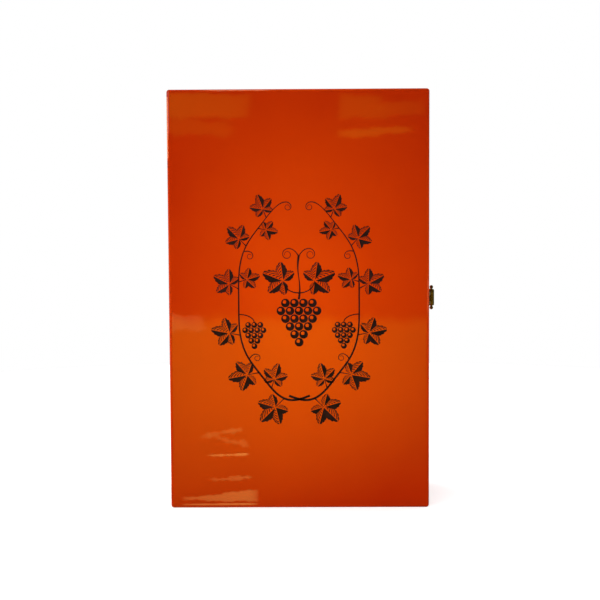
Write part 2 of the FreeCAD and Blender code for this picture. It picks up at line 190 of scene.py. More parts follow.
def make_piece(
    name: str,
    surface: Surface,
    material: Material,
    sharp_degrees: float = 40.0,
    merge_mm: float = 0.0005,
    closed: bool = True,
) -> Object:
    """Turns a surface into an object at the origin.

    Args:
        name: the piece's name.
        surface: the shape, in millimetres.
        material: what it is made of.
        sharp_degrees: edges that turn by more than this stay sharp; at zero every face is flat.
        merge_mm: points closer than this become one.
        closed: whether the faces enclose a solid, whose outside they are turned to.

    Returns:
        The new object.
    """
    mesh = bpy.data.meshes.new(name)
    mesh.from_pydata((surface.points * MM).tolist(), [], surface.faces)
    work = bmesh.new()
    work.from_mesh(mesh)
    bmesh.ops.remove_doubles(work, verts=work.verts, dist=merge_mm * MM)
    if closed:
        bmesh.ops.recalc_face_normals(work, faces=work.faces)
    work.to_mesh(mesh)
    work.free()
    mesh.polygons.foreach_set("use_smooth", np.full(len(mesh.polygons), sharp_degrees > 0))
    mesh.set_sharp_from_angle(angle=math.radians(sharp_degrees))
    mesh.materials.append(material)
    piece = bpy.data.objects.new(name, mesh)
    bpy.context.scene.collection.objects.link(piece)
    return piece


def new_material(name: str) -> tuple[Material, Adder]:
    """Starts a node material.

    Args:
        name: the material's name.

    Returns:
        The material, and the function that adds nodes to its emptied tree.
    """
    material = bpy.data.materials.new(name)
    material.use_nodes = True
    material.node_tree.nodes.clear()
    return material, partial(add_node, material.node_tree)


@dataclass(frozen=True)
class LacquerFinish:
    """Sprayed polyester lacquer over fibreboard, flatted and polished to a deep gloss.

    The colour turns darker and redder towards the edges: partly the coat building up there, partly painted
    shade. The gloss is nearly a mirror, and the eye reads it as sprayed by its fine orange peel and by slow
    swells that bend what it reflects.

    Attributes:
        middle: the colour in the middle of a big panel.
        edge: the darker, redder colour towards the edges, where the coat is thick, and partly painted shade.
        roughness: of the polished top.
        ior: of the lacquer.
        peel_mm: the grain of the orange peel.
        peel_height_mm: how high the peel stands.
        swell_mm: the length of the slow swells.
        swell_height_mm: how high they stand.
        shade_and_build_up_mm: the distance from a face's middle at which the colour has turned darker, across and
            up;
        the darkening is partly the coat building up and partly painted shade.
        blend_shares: of that distance, where the colour starts to turn and where it has turned.
        cloud_mm: the size of the clouds that make the turn uneven.
        cloud_share: of that distance, how far they shift it in all.
    """

    middle: str = "#D03F00"
    edge: str = "#B42800"
    roughness: float = 0.022
    ior: float = 1.5
    peel_mm: float = 2.2
    peel_height_mm: float = 0.0022
    swell_mm: float = 26.0
    swell_height_mm: float = 0.022
    shade_and_build_up_mm: tuple[float, float] = (150.0, 215.0)
    blend_shares: tuple[float, float] = (0.15, 0.95)
    cloud_mm: float = 70.0
    cloud_share: float = 0.35

    def bump(self, add: Adder, place: NodeSocket) -> Node:
        """Adds the peel on top of the swells.

        Args:
            add: what adds nodes to the material's tree.
            place: the coordinates that the waves follow.

        Returns:
            The node whose normal the shader takes.
        """
        below: dict[str, Source] = {}
        for size, height in ((self.swell_mm, self.swell_height_mm), (self.peel_mm, self.peel_height_mm)):
            wave = add("ShaderNodeTexNoise", {"Scale": per_metre(size), "Detail": 1.0}, {"Vector": place})
            lift = add(
                "ShaderNodeBump",
                {"Strength": 1.0, "Distance": height * MM},
                {"Height": wave.outputs["Fac"], **below},
            )
            below = {"Normal": lift}
        return below["Normal"]

    def material(self) -> Material:
        """Builds the lacquer's material, whose colour darkens and reddens with the distance from the middle along
        a
        face: partly the coat's build-up, partly painted shade.

        Returns:
            The material.
        """
        material, add = new_material("orange_polyester_lacquer")
        coordinates = add("ShaderNodeTexCoord")
        place = coordinates.outputs["Object"]
        across, up = (per_metre(distance) for distance in self.shade_and_build_up_mm)
        middle_z = node_span("lid_front_panel")[:, 2].mean() * MM
        spread = add(
            "ShaderNodeMapping",
            {"Location": (0.0, 0.0, -middle_z * up), "Scale": (across, 0.0, up)},
            {"Vector": place},
        )
        facing = add("ShaderNodeVectorMath", {"operation": "ABSOLUTE"}, {0: coordinates.outputs["Normal"]})
        level = add("ShaderNodeVectorMath", {"operation": "SUBTRACT", 0: (1.0, 1.0, 1.0)}, {1: facing})
        on_face = add("ShaderNodeVectorMath", {"operation": "MULTIPLY"}, {0: spread, 1: level})
        reach = add("ShaderNodeVectorMath", {"operation": "LENGTH"}, {0: on_face})
        cloud = add(
            "ShaderNodeTexNoise", {"Scale": per_metre(self.cloud_mm), "Detail": 2.0}, {"Vector": place}
        )
        drift = add(
            "ShaderNodeMath",
            {"operation": "MULTIPLY_ADD", 1: self.cloud_share, 2: -self.cloud_share / 2},
            {0: cloud.outputs["Fac"]},
        )
        # painted shade: the colour turns darker and redder towards a face's edges and ends, partly the coat's
        # build-up and partly standing in for light falling off there
        edge_shade_and_build_up = add("ShaderNodeMath", {"operation": "ADD"}, {0: reach.outputs["Value"], 1: drift})
        stops = zip(self.blend_shares, (self.middle, self.edge))
        colour = add("ShaderNodeValToRGB", {"stops": stops}, {"Fac": edge_shade_and_build_up})
        shader = add(
            "ShaderNodeBsdfPrincipled",
            {"Roughness": self.roughness, "IOR": self.ior},
            {"Base Color": colour, "Normal": self.bump(add, place)},
        )
        add("ShaderNodeOutputMaterial", links={"Surface": shader})
        return material


@dataclass(frozen=True)
class InkFinish:
    """Screen-printed ink on top of the lacquer: nearly black, and dull beside the gloss round it.

    Attributes:
        colour: of the solid ink.
        thin_colour: where the squeegee left less of it.
        patch_mm: the size of the thinner patches.
        thinning: the levels of their noise at which the ink is solid and thin.
        roughness: of the dried ink.
        specular: its shine beside that of a plain polished surface.
    """

    colour: str = "#150402"
    thin_colour: str = "#2E0D05"
    patch_mm: float = 9.0
    thinning: tuple[float, float] = (0.35, 0.8)
    roughness: float = 0.5
    specular: float = 0.2

    def material(self) -> Material:
        """Builds the ink's material.

        Returns:
            The material.
        """
        material, add = new_material("printed_ink")
        place = add("ShaderNodeTexCoord").outputs["Object"]
        patches = add("ShaderNodeTexNoise", {"Scale": per_metre(self.patch_mm)}, {"Vector": place})
        stops = zip(self.thinning, (self.colour, self.thin_colour))
        colour = add("ShaderNodeValToRGB", {"stops": stops}, {"Fac": patches.outputs["Fac"]})
        shader = add(
            "ShaderNodeBsdfPrincipled",
            {"Roughness": self.roughness, "Specular IOR Level": self.specular},
            {"Base Color": colour},
        )
        add("ShaderNodeOutputMaterial", links={"Surface": shader})
        return material


@dataclass(frozen=True)
class BrassFinish:
    """Stamped brass, tumbled and lacquered: a warm metal, duller and browner where it has been handled.

    Attributes:
        name: of the material.
        bright: the clean metal.
        tarnish: the browned metal.
        patch_mm: the size of the tarnish patches.
        browning: the levels of their noise at which the metal is clean and brown.
        dulling: the levels at which it is smooth and rough.
        roughness: the range from clean to tarnished metal.
        grain_mm: the scratches left by tumbling.
        grain_height_mm: how deep the scratches are.
    """

    name: str = "stamped_brass"
    bright: str = "#B39A48"
    tarnish: str = "#5E5224"
    patch_mm: float = 3.0
    browning: tuple[float, float] = (0.45, 0.8)
    dulling: tuple[float, float] = (0.35, 0.75)
    roughness: tuple[float, float] = (0.18, 0.42)
    grain_mm: float = 0.35
    grain_height_mm: float = 0.004

    def material(self) -> Material:
        """Builds the brass material.

        Returns:
            The material.
        """
        material, add = new_material(self.name)
        place = add("ShaderNodeTexCoord").outputs["Object"]
        noise = add(
            "ShaderNodeTexNoise", {"Scale": per_metre(self.patch_mm), "Detail": 4.0}, {"Vector": place}
        )
        patches = noise.outputs["Fac"]
        stops = zip(self.browning, (self.bright, self.tarnish))
        colour = add("ShaderNodeValToRGB", {"stops": stops}, {"Fac": patches})
        ends = ("From Min", "From Max", "To Min", "To Max")
        dullness = add(
            "ShaderNodeMapRange", dict(zip(ends, self.dulling + self.roughness)), {"Value": patches}
        )
        grain = add("ShaderNodeTexNoise", {"Scale": per_metre(self.grain_mm)}, {"Vector": place})
        scratched = add(
            "ShaderNodeBump",
            {"Strength": 1.0, "Distance": self.grain_height_mm * MM},
            {"Height": grain.outputs["Fac"]},
        )
        shader = add(
            "ShaderNodeBsdfPrincipled",
            {"Metallic": 1.0},
            {"Base Color": colour, "Roughness": dullness, "Normal": scratched},
        )
        add("ShaderNodeOutputMaterial", links={"Surface": shader})
        return material


@dataclass(frozen=True)
class VelvetFinish:
    """Flocked velvet on foam and board: a soft pile whose nap lies lighter or darker where it was stroked.

    Attributes:
        raised: the pile standing up.
        stroked: the pile laid down.
        nap_mm: the width of the stroked patches.
        nap_stretch: how much longer the patches are than wide.
        nap_levels: of their noise, at which the pile lies down and stands up.
        pile_mm: the spacing of the tufts, coarser than the real 0.3 so that it shows.
        pile_height_mm: how high the tufts stand.
        roughness: of the pile.
        specular: its shine beside that of a plain polished surface.
        sheen: how strongly the pile lights up at a glancing view.
        sheen_roughness: how far that light spreads.
        sheen_colour: of that light.
    """

    raised: str = "#CBB48A"
    stroked: str = "#BEA679"
    nap_mm: float = 18.0
    nap_stretch: float = 2.4
    nap_levels: tuple[float, float] = (0.35, 0.65)
    pile_mm: float = 0.9
    pile_height_mm: float = 0.16
    roughness: float = 0.92
    specular: float = 0.15
    sheen: float = 0.55
    sheen_roughness: float = 0.35
    sheen_colour: str = "#FFF3D8"

    def material(self) -> Material:
        """Builds the velvet's material.

        Returns:
            The material.
        """
        material, add = new_material("champagne_velvet")
        place = add("ShaderNodeTexCoord").outputs["Object"]
        stroke = add("ShaderNodeMapping", {"Scale": (1.0, 1.0, 1 / self.nap_stretch)}, {"Vector": place})
        nap = add(
            "ShaderNodeTexNoise",
            {"Scale": per_metre(self.nap_mm), "Detail": 3.0, "Distortion": 0.6},
            {"Vector": stroke},
        )
        stops = zip(self.nap_levels, (self.stroked, self.raised))
        colour = add("ShaderNodeValToRGB", {"stops": stops}, {"Fac": nap.outputs["Fac"]})
        pile = add(
            "ShaderNodeTexNoise", {"Scale": per_metre(self.pile_mm), "Detail": 2.0}, {"Vector": place}
        )
        tufted = add(
            "ShaderNodeBump",
            {"Strength": 0.7, "Distance": self.pile_height_mm * MM},
            {"Height": pile.outputs["Fac"]},
        )
        shader = add(
            "ShaderNodeBsdfPrincipled",
            {
                "Roughness": self.roughness,
                "Specular IOR Level": self.specular,
                "Sheen Weight": self.sheen,
                "Sheen Roughness": self.sheen_roughness,
                "Sheen Tint": linear(self.sheen_colour),
            },
            {"Base Color": colour, "Normal": tufted},
        )
        add("ShaderNodeOutputMaterial", links={"Surface": shader})
        return material


@dataclass(frozen=True)
class SatinFinish:
    """Woven satin over wadding: long floats of thread give it a silky sheen with a faint crosswise grain.

    Attributes:
        light: the floats, painted lighter.
        shade: painted shade in the dips between them.
        thread_mm: the spacing of the floats, coarser than the real 0.2 so that it shows.
        thread_height_mm: how far a float stands out.
        band: the length of one band of the wave texture at a scale of one.
        roughness: of the cloth.
        specular: its shine beside that of a plain polished surface.
        anisotropy: how far the floats draw its highlights out.
        sheen: how strongly it lights up at a glancing view.
        sheen_roughness: how far that light spreads.
    """

    light: str = "#E4D1A6"
    shade: str = "#D8C395"
    thread_mm: float = 0.8
    thread_height_mm: float = 0.02
    band: float = 2 * math.pi / 20
    roughness: float = 0.32
    specular: float = 0.75
    anisotropy: float = 0.5
    sheen: float = 0.25
    sheen_roughness: float = 0.3

    def material(self) -> Material:
        """Builds the satin's material.

        Returns:
            The material.
        """
        material, add = new_material("champagne_satin")
        place = add("ShaderNodeTexCoord").outputs["Object"]
        wave = add(
            "ShaderNodeTexWave",
            {
                "wave_type": "BANDS",
                "bands_direction": "Z",
                "Scale": per_metre(self.thread_mm) * self.band,
                "Distortion": 1.5,
                "Detail": 2.0,
                "Detail Scale": 1.5,
            },
            {"Vector": place},
        )
        floats = wave.outputs["Fac"]
        # painted shade in the dips between the floats, and painted light on the floats
        stops = zip((0.0, 1.0), (self.shade, self.light))
        colour = add("ShaderNodeValToRGB", {"stops": stops}, {"Fac": floats})
        woven = add(
            "ShaderNodeBump", {"Strength": 0.5, "Distance": self.thread_height_mm * MM}, {"Height": floats}
        )
        shader = add(
            "ShaderNodeBsdfPrincipled",
            {
                "Roughness": self.roughness,
                "Specular IOR Level": self.specular,
                "Anisotropic": self.anisotropy,
                "Sheen Weight": self.sheen,
                "Sheen Roughness": self.sheen_roughness,
            },
            {"Base Color": colour, "Normal": woven},
        )
        add("ShaderNodeOutputMaterial", links={"Surface": shader})
        return material


@dataclass(frozen=True)
class RoundedPath:
    """A rounded rectangle in the XZ plane that rings of any inset can follow.

    A point of a ring is its arc's centre, less the corner's direction times what the inset takes beyond the
    corner's radius, plus the outward normal times the radius that is left.

    Attributes:
        centres: the arc centre of each sample.
        normals: the outward normal of each sample.
        corners: the direction in which each sample's centre moves as the inset grows.
        radius: the corner radius of the outermost ring.
        least_radius: the corner radius that the inner rings keep.
    """

    centres: np.ndarray
    normals: np.ndarray
    corners: np.ndarray
    radius: float
    least_radius: float

    @classmethod
    def rectangle(
        cls,
        half_width: float,
        z_span: tuple[float, float],
        radius: float,
        least_radius: float,
        arc_steps: int,
        left_heights: np.ndarray | None = None,
    ) -> RoundedPath:
        """Samples a rectangle counter-clockwise, as seen from the front, from its lower right corner.

        Args:
            half_width: half the width of the outermost ring.
            z_span: the lowest and highest Z of the outermost ring.
            radius: its corner radius.
            least_radius: the corner radius that inner rings keep.
            arc_steps: how many steps a corner takes.
            left_heights: extra samples on the left side, by their Z, from the top down.

        Returns:
            The path.
        """
        signs = np.array([(1, -1), (1, 1), (-1, 1), (-1, -1)], dtype=float)
        middle = np.array([0.0, sum(z_span) / 2])
        reach = np.array([half_width - radius, (z_span[1] - z_span[0]) / 2 - radius])
        starts = np.array([-90, 0, 90, 180])
        turns = np.radians(np.linspace(0, 90, arc_steps + 1)[None, :] + starts[:, None])
        normals = directions(turns)
        centres = np.repeat((middle + signs * reach)[:, None, :], arc_steps + 1, axis=1)
        corners = np.repeat(signs[:, None, :], arc_steps + 1, axis=1)
        heights = np.empty(0) if left_heights is None else left_heights
        leftward = np.tile([-1.0, 0.0], (len(heights), 1))
        side = np.stack([np.full(len(heights), -reach[0]), heights], axis=-1)

        def in_order(arcs: np.ndarray, extra: np.ndarray) -> np.ndarray:
            """The samples of the first three corners, the left side and the last corner."""
            return np.concatenate([arcs[:3].reshape(-1, 2), extra, arcs[3]])

        return cls(
            in_order(centres, side),
            in_order(normals, leftward),
            in_order(corners, leftward),
            radius,
            least_radius,
        )

    def rings(self, insets: np.ndarray, depths: np.ndarray) -> np.ndarray:
        """Places rings on the path.

        Args:
            insets: how far inside the outermost ring each point lies, by ring and sample.
            depths: the Y of each point, by ring and sample.

        Returns:
            The points, by ring, sample and coordinate.
        """
        radius = np.maximum(self.radius - insets, self.least_radius)[..., None]
        shift = np.maximum(insets - (self.radius - self.least_radius), 0)[..., None]
        flat = self.centres + radius * self.normals - shift * self.corners
        return np.stack([flat[..., 0], np.broadcast_to(depths, insets.shape), flat[..., 1]], axis=-1)


def arc(
    centre: tuple[float, float], start: tuple[float, float], end: tuple[float, float], steps: int
) -> np.ndarray:
    """Points on a circular arc, the short way round.

    Args:
        centre: the circle's centre.
        start: where the arc begins.
        end: where it ends, at the same distance from the centre.
        steps: how many steps it takes.

    Returns:
        The points, from start to end.
    """
    first = np.array(start) - centre
    last = np.array(end) - centre
    angle = math.atan2(first[1], first[0])
    sweep = (math.atan2(last[1], last[0]) - angle + math.pi) % (2 * math.pi) - math.pi
    turns = angle + sweep * np.linspace(0, 1, steps + 1)
    return np.array(centre) + np.hypot(*first) * directions(turns)


class RimZone(Enum):
    """What the rim of the hinged wall is cut for at a given height."""

    PLAIN = 0
    GROOVE = auto()
    LEAF = auto()


@dataclass
class LacquerShell:
    """The lid or the base as one lacquered shell, with the beds of its hinge leaves.

    Attributes:
        body: the CAD body, lid or base.
        panel: the CAD node of its big face.
        finish: the lacquer.
        edge_radius: of the outside edges of the big face.
        corner_radius: of the edges that run from front to back.
        rim_radius: of the rim's outside edge.
        inside_radius: of the rim's inside edge and corners.
        support: the width of the flat strips beside each rounding, which keep the flats flat in shading.
        leaf_thickness: how deep a hinge leaf is let in.
        leaf_margin: from the leaf's edge to the wall's inner face.
        groove_clearance: round the hinge's barrel.
        groove_overrun: of the barrel's groove past the leaf's ends.
        knuckle_radius: of the hinge's barrel.
        inside_steps: of the rim's inside rounding.
        rim_steps: of its outside rounding, and of the groove that takes its place at a hinge.
        edge_steps: of the big face's rounding.
        corner_steps: of each corner.
    """

    body: str
    panel: str
    finish: Material
    edge_radius: float = 2.0
    corner_radius: float = 2.4
    rim_radius: float = 0.8
    inside_radius: float = 0.6
    support: float = 0.4
    leaf_thickness: float = 1.0
    leaf_margin: float = 1.4
    groove_clearance: float = 0.3
    groove_overrun: float = 1.0
    knuckle_radius: float = 2.0
    inside_steps: int = 4
    rim_steps: int = 6
    edge_steps: int = 8
    corner_steps: int = 8

    def wall_node(self, side: str) -> str:
        """The CAD node of one wall."""
        return f"{self.body}_{side}_wall"

    def measure(self) -> None:
        """Reads the shell's sizes from the CAD nodes."""
        panel = node_span(self.panel)
        wall = node_span(self.wall_node("left"))
        self.half_width = (panel[1, 0] - panel[0, 0]) / 2
        self.z_span = (panel[0, 2], panel[1, 2])
        self.wall = wall[1, 0] - wall[0, 0]
        self.panel_thickness = panel[1, 1] - panel[0, 1]
        in_front = self.body == "lid"
        self.face_y = panel[0, 1] if in_front else panel[1, 1]
        self.rim_y = wall[1, 1] if in_front else wall[0, 1]
        self.depth = abs(self.face_y - self.rim_y)
        self.inward = math.copysign(1, self.face_y - self.rim_y)
        hinge = next(joint for joint in frame["joints"] if joint["name"] == "lid_hinge")
        axis = np.array(hinge["pos_m"]) / MM
        self.axis = (axis[0] + self.half_width, (axis[1] - self.rim_y) * self.inward)

    def profile(self, zone: RimZone) -> np.ndarray:
        """The wall's section from the inner floor, over the rim, to the big face.

        Each point is an inset from the outside and a depth below the rim. In a hinge's zones the rim steps
        down to the leaf's bed and ends in a groove, an arc about the hinge's axis.

        Args:
            zone: what the rim is cut for.

        Returns:
            The points, in the same number for every zone.
        """
        inside, rim, edge, strip = self.inside_radius, self.rim_radius, self.edge_radius, self.support
        leaf_inset = self.wall - self.leaf_margin
        groove = self.knuckle_radius + self.groove_clearance
        bed = self.leaf_thickness if zone is RimZone.LEAF else 0.0
        groove_end = self.axis[1] + math.sqrt(groove**2 - self.axis[0] ** 2)
        groove_start = self.axis[0] + math.sqrt(groove**2 - (bed - self.axis[1]) ** 2)
        start = [
            [(self.wall, self.depth - self.panel_thickness), (self.wall, inside + strip)],
            arc(
                (self.wall - inside, inside), (self.wall, inside), (self.wall - inside, 0), self.inside_steps
            ),
            [(self.wall - inside - strip, 0), (leaf_inset, 0)],
        ]
        if zone is RimZone.PLAIN:
            outer = [
                [(leaf_inset - strip, 0), (rim + strip, 0)],
                arc((rim, rim), (rim, 0), (0, rim), self.rim_steps),
                [(0, rim + strip)],
            ]
        else:
            step = leaf_inset if zone is RimZone.LEAF else leaf_inset - strip
            outer = [
                [(step, bed), (groove_start + strip, bed)],
                arc(self.axis, (groove_start, bed), (0, groove_end), self.rim_steps),
                [(0, groove_end + strip)],
            ]
        end = [
            [(0, self.depth - edge - strip)],
            arc((edge, self.depth - edge), (0, self.depth - edge), (edge, self.depth), self.edge_steps),
            [(edge + strip, self.depth)],
        ]
        return np.concatenate([np.array(part, dtype=float) for part in (*start, *outer, *end)])

    def hinge_cuts(self) -> tuple[np.ndarray, list[RimZone]]:
        """Finds where the left rim changes for the hinges, from the top down.

        Returns:
            The heights, each one twice, and the zones above and below it.
        """
        heights: list[float] = []
        zones: list[RimZone] = []
        for level in ("upper", "lower"):
            low, high = node_span(f"{level}_hinge_{self.body}_leaf")[:, 2]
            cuts = (high + self.groove_overrun, high, low, low - self.groove_overrun)
            order = (RimZone.PLAIN, RimZone.GROOVE, RimZone.LEAF, RimZone.GROOVE, RimZone.PLAIN)
            for cut, before, after in zip(cuts, order, order[1:]):
                heights += [cut, cut]
                zones += [before, after]
        return np.array(heights), zones

    def surface(self) -> Surface:
        """The shell: the wall's section carried round the box, closed by the inner floor and the face.

        Returns:
            The closed surface.
        """
        heights, left_zones = self.hinge_cuts()
        path = RoundedPath.rectangle(
            self.half_width,
            self.z_span,
            self.corner_radius,
            self.inside_radius / 2,
            self.corner_steps,
            heights,
        )
        corner = [RimZone.PLAIN] * (self.corner_steps + 1)
        zones = corner * 3 + left_zones + corner
        sections = np.stack([self.profile(zone) for zone in RimZone])
        chosen = sections[[zone.value for zone in zones]]
        insets, depths = chosen[..., 0].T, chosen[..., 1].T
        points = path.rings(insets, self.rim_y + self.inward * depths)
        shell = Surface.grid(points, wrap_columns=True)
        samples = points.shape[1]
        last = np.arange(len(shell.points) - samples, len(shell.points))
        return shell.capped(np.arange(samples)[::-1]).capped(last)

    def build(self) -> Object:
        """Makes the shell, which stands for the panel and the walls.

        Returns:
            The piece.
        """
        self.measure()
        piece = make_piece(f"{self.body}_lacquer_shell", self.surface(), self.finish)
        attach(piece, self.body)
        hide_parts(self.panel, *(self.wall_node(side) for side in SIDES))
        return piece


@dataclass(frozen=True)
class VineLeaf:
    """The outline of a vine leaf, in degrees from its midrib and as shares of its length.

    Attributes:
        lobe_degrees: where the lobes of one side point, from the midrib backwards.
        lobe_shares: how far they reach.
        notch_degrees: where the notches after each lobe lie.
        notch_shares: how far out they are.
        foot_share: the bare spot round the foot of the veins.
        tooth_share: how far the teeth stand out.
        teeth: on each side of a lobe.
        pointing: over one, the lobes are drawn out to a point.
    """

    lobe_degrees: tuple[float, ...] = (0.0, 60.0, 120.0)
    lobe_shares: tuple[float, ...] = (1.0, 0.86, 0.64)
    notch_degrees: tuple[float, ...] = (31.0, 91.0, 160.0)
    notch_shares: tuple[float, ...] = (0.55, 0.48, 0.26)
    foot_share: float = 0.06
    tooth_share: float = 0.07
    teeth: int = 3
    pointing: float = 1.1

    def halves(self) -> np.ndarray:
        """Cuts the lobes into halves, from vein to notch, first on one side and then on the other.

        Returns:
            Angle and reach, by half, of its vein and of its notch.
        """
        lobe = np.stack([np.radians(self.lobe_degrees), self.lobe_shares], axis=-1)
        notch = np.stack([np.radians(self.notch_degrees), self.notch_shares], axis=-1)
        side = np.stack([lobe[[0, 1, 1, 2, 2]], notch[[0, 0, 1, 1, 2]]], axis=1)
        return np.concatenate([side, side * (-1.0, 1.0)])

    def reach(self, halves: np.ndarray, across: np.ndarray) -> tuple[np.ndarray, np.ndarray]:
        """How far a half lobe and its teeth reach from the leaf's foot.

        From the lobe's tip to the notch the reach falls as a power of the share that is left, and teeth are
        a triangle wave on it that dies out at both ends.

        Args:
            halves: rows from the halves method.
            across: shares of the way from the vein to the notch.

        Returns:
            The smooth reach and the teeth that come on top, by half and share.
        """
        tip, notch = halves[:, 0, 1, None], halves[:, 1, 1, None]
        wave = 1 - np.abs(2 * ((self.teeth * across) % 1) - 1)
        tooth = self.tooth_share * tip * wave * np.sin(math.pi * across) ** 0.5
        return notch + (tip - notch) * (1 - across) ** self.pointing, tooth


@dataclass
class VinePrint:
    """A printed vine on the lid's face: a wreath of two branches round a bunch of grapes.

    Drawn points lie across and up from the lid's middle.

    Attributes:
        finish: the ink.
        leaf: the outline of every leaf.
        lift: how far the ink stands proud of the lid.
        depth: the ink's whole thickness, which reaches into the lacquer.
        half_width: from the wreath's middle to a branch, across.
        half_height: the same, up and down.
        branch_degrees: where a branch starts and ends, counted from the bottom of the wreath.
        branch_width: at the branch's foot and at its tip.
        wave_share: how far a branch waves to either side, as a share of its distance from the middle.
        wave_turns: how many times faster than the branch the wave turns.
        outer_leaf_degrees: where the leaves outside a branch grow.
        inner_leaf_degrees: where those inside it grow.
        leaf_size: of the lowest and the highest leaf.
        inner_leaf_share: the size of the inner leaves beside the outer ones.
        leaf_lean: how far leaves lean away from the branch, in degrees.
        stem_share: the length of a leaf's stem beside its leaf.
        stem_widths: of that stem at its foot, in its middle and at its end, in lines.
        bunch_degrees: where the small bunches hang.
        bunch_rows: how many berries the rows of a small bunch hold, from the top.
        berry_radius: in the small bunches.
        droop: how far the stalk of a small bunch reaches inwards and down.
        stalk_width: of that stalk, in lines.
        hang_radii: from a stalk to the middle of the first row below it, in radii of a berry.
        tendrils: of a branch: place and lean in degrees, length, and curl in radians of each.
        tendril_power: the higher, the later a tendril bends.
        tendril_widths: at its foot and its tip, in lines.
        middle_height: of the first row of the bunch in the middle.
        middle_rows: how many berries its rows hold.
        middle_berry_radius: in that bunch.
        middle_leaf_size: of its leaves.
        middle_leaf_degrees: where they point.
        middle_stem_shares: how far their stems reach aside, bend up and start up, in leaf sizes.
        middle_stem_widths: of those stems at their feet and their ends, in lines.
        middle_stalk_share: the height of the stalk, in leaf sizes.
        middle_sway: of the stalk, to either side.
        middle_stalk_widths: its mean width, and how much that swells, in lines.
        middle_tendrils: on the stalk: heading in degrees, length, and curl in radians of each.
        middle_tendril_drop: how far below the stalk's tip they grow.
        berry_spacing: from berry to berry across and from row to row, in radii.
        glint: of a berry: its least bare radius and what the light adds, in radii, and the power of that.
        line: the width of a drawn line.
        light_degrees: where the light in the drawing comes from.
        outline_share: where the outline of a lit half lobe begins.
        hatching: how many lines shade the lit half of a lobe.
        hatch_share: the share of the lit half that they cover.
        hatch_span: where the first and the last of them start, as shares of the reach.
        hatch_slant: how far they slant outwards.
        parts: the grids that are drawn so far.
    """

    finish: Material
    leaf: VineLeaf = VineLeaf()
    lift: float = 0.04
    depth: float = 0.05
    half_width: float = 52.0
    half_height: float = 84.0
    branch_degrees: tuple[float, float] = (-10.0, 163.0)
    branch_width: tuple[float, float] = (2.0, 0.7)
    wave_share: float = 0.022
    wave_turns: float = 7.0
    outer_leaf_degrees: tuple[float, ...] = (14.0, 42.0, 70.0, 97.0, 123.0, 148.0)
    inner_leaf_degrees: tuple[float, ...] = (27.0, 101.0, 138.0)
    leaf_size: tuple[float, float] = (18.5, 12.5)
    inner_leaf_share: float = 0.8
    leaf_lean: float = 66.0
    stem_share: float = 0.6
    stem_widths: tuple[float, float, float] = (1.6, 1.2, 1.0)
    bunch_degrees: tuple[float, ...] = (82.0,)
    bunch_rows: tuple[int, ...] = (3, 4, 3, 2, 1)
    berry_radius: float = 2.5
    droop: tuple[float, float] = (13.0, 7.0)
    stalk_width: float = 1.4
    hang_radii: float = 0.8
    tendrils: tuple[tuple[float, float, float, float], ...] = (
        (54.0, 55.0, 24.0, 8.0),
        (119.0, 58.0, 22.0, 7.5),
        (163.0, 0.0, 26.0, 8.5),
    )
    tendril_power: float = 1.8
    tendril_widths: tuple[float, float] = (1.5, 0.7)
    middle_height: float = -2.0
    middle_rows: tuple[int, ...] = (4, 5, 4, 3, 2, 1)
    middle_berry_radius: float = 3.7
    middle_leaf_size: float = 18.5
    middle_leaf_degrees: tuple[float, float] = (158.0, 22.0)
    middle_stem_shares: tuple[float, float, float] = (0.72, 0.56, 0.3)
    middle_stem_widths: tuple[float, float] = (1.8, 1.0)
    middle_stalk_share: float = 2.0
    middle_sway: float = 0.8
    middle_stalk_widths: tuple[float, float] = (2.2, 0.8)
    middle_tendrils: tuple[tuple[float, float, float], ...] = ((120.0, 38.0, 9.0), (60.0, 38.0, -9.0))
    middle_tendril_drop: float = 0.5
    berry_spacing: tuple[float, float] = (2.06, 1.8)
    glint: tuple[float, float, float] = (0.12, 0.6, 0.8)
    line: float = 0.6
    light_degrees: float = 128.0
    outline_share: float = 0.94
    hatching: int = 5
    hatch_share: float = 0.36
    hatch_span: tuple[float, float] = (0.1, 0.82)
    hatch_slant: float = 0.14
    parts: list[Surface] = field(default_factory=list)

    def lay(self, points: np.ndarray, wrap_columns: bool = False) -> None:
        """Lays grids of drawn points on the lid's face.

        Args:
            points: by grid, row, column and coordinate.
            wrap_columns: whether the grids close round their columns.
        """
        panel = node_span("lid_front_panel")
        middle = panel.mean(axis=0)
        face = np.full(points.shape[:-1], panel[0, 1] - self.lift)
        placed = np.stack([points[..., 0] + middle[0], face, points[..., 1] + middle[2]], axis=-1)
        self.parts.append(Surface.grid(placed, wrap_columns=wrap_columns))

    def strokes(self, curves: np.ndarray, widths: np.ndarray) -> None:
        """Draws tapering lines.

        Each curve is widened by half its width to either side, along the normal of its local direction.

        Args:
            curves: the lines, by line, point and coordinate.
            widths: the widths along them, by line and point, or alike for all lines.
        """
        along = np.gradient(curves, axis=1)
        along /= np.linalg.norm(along, axis=-1, keepdims=True)
        half = np.broadcast_to(widths, curves.shape[:2])[..., None] / 2
        normal = np.stack([-along[..., 1], along[..., 0]], axis=-1) * half
        self.lay(np.stack([curves + normal, curves - normal], axis=1))

    def branch(self, degrees: np.ndarray, side: float) -> tuple[np.ndarray, np.ndarray]:
        """Points on one branch and the headings in which it grows there.

        The branch is half an ellipse that rises from the bottom, with a slow wave across it.

        Args:
            degrees: places on the branch, counted from the bottom.
            side: 1 for the right branch and -1 for the left.

        Returns:
            The points and the headings in radians.
        """
        turn = np.radians(degrees)
        wave = 1 + self.wave_share * np.sin(self.wave_turns * turn)
        across = side * self.half_width * np.sin(turn) * wave
        up = -self.half_height * np.cos(turn) * wave
        heading = np.arctan2(self.half_height * np.sin(turn), side * self.half_width * np.cos(turn))
        return np.stack([across, up], axis=-1), heading

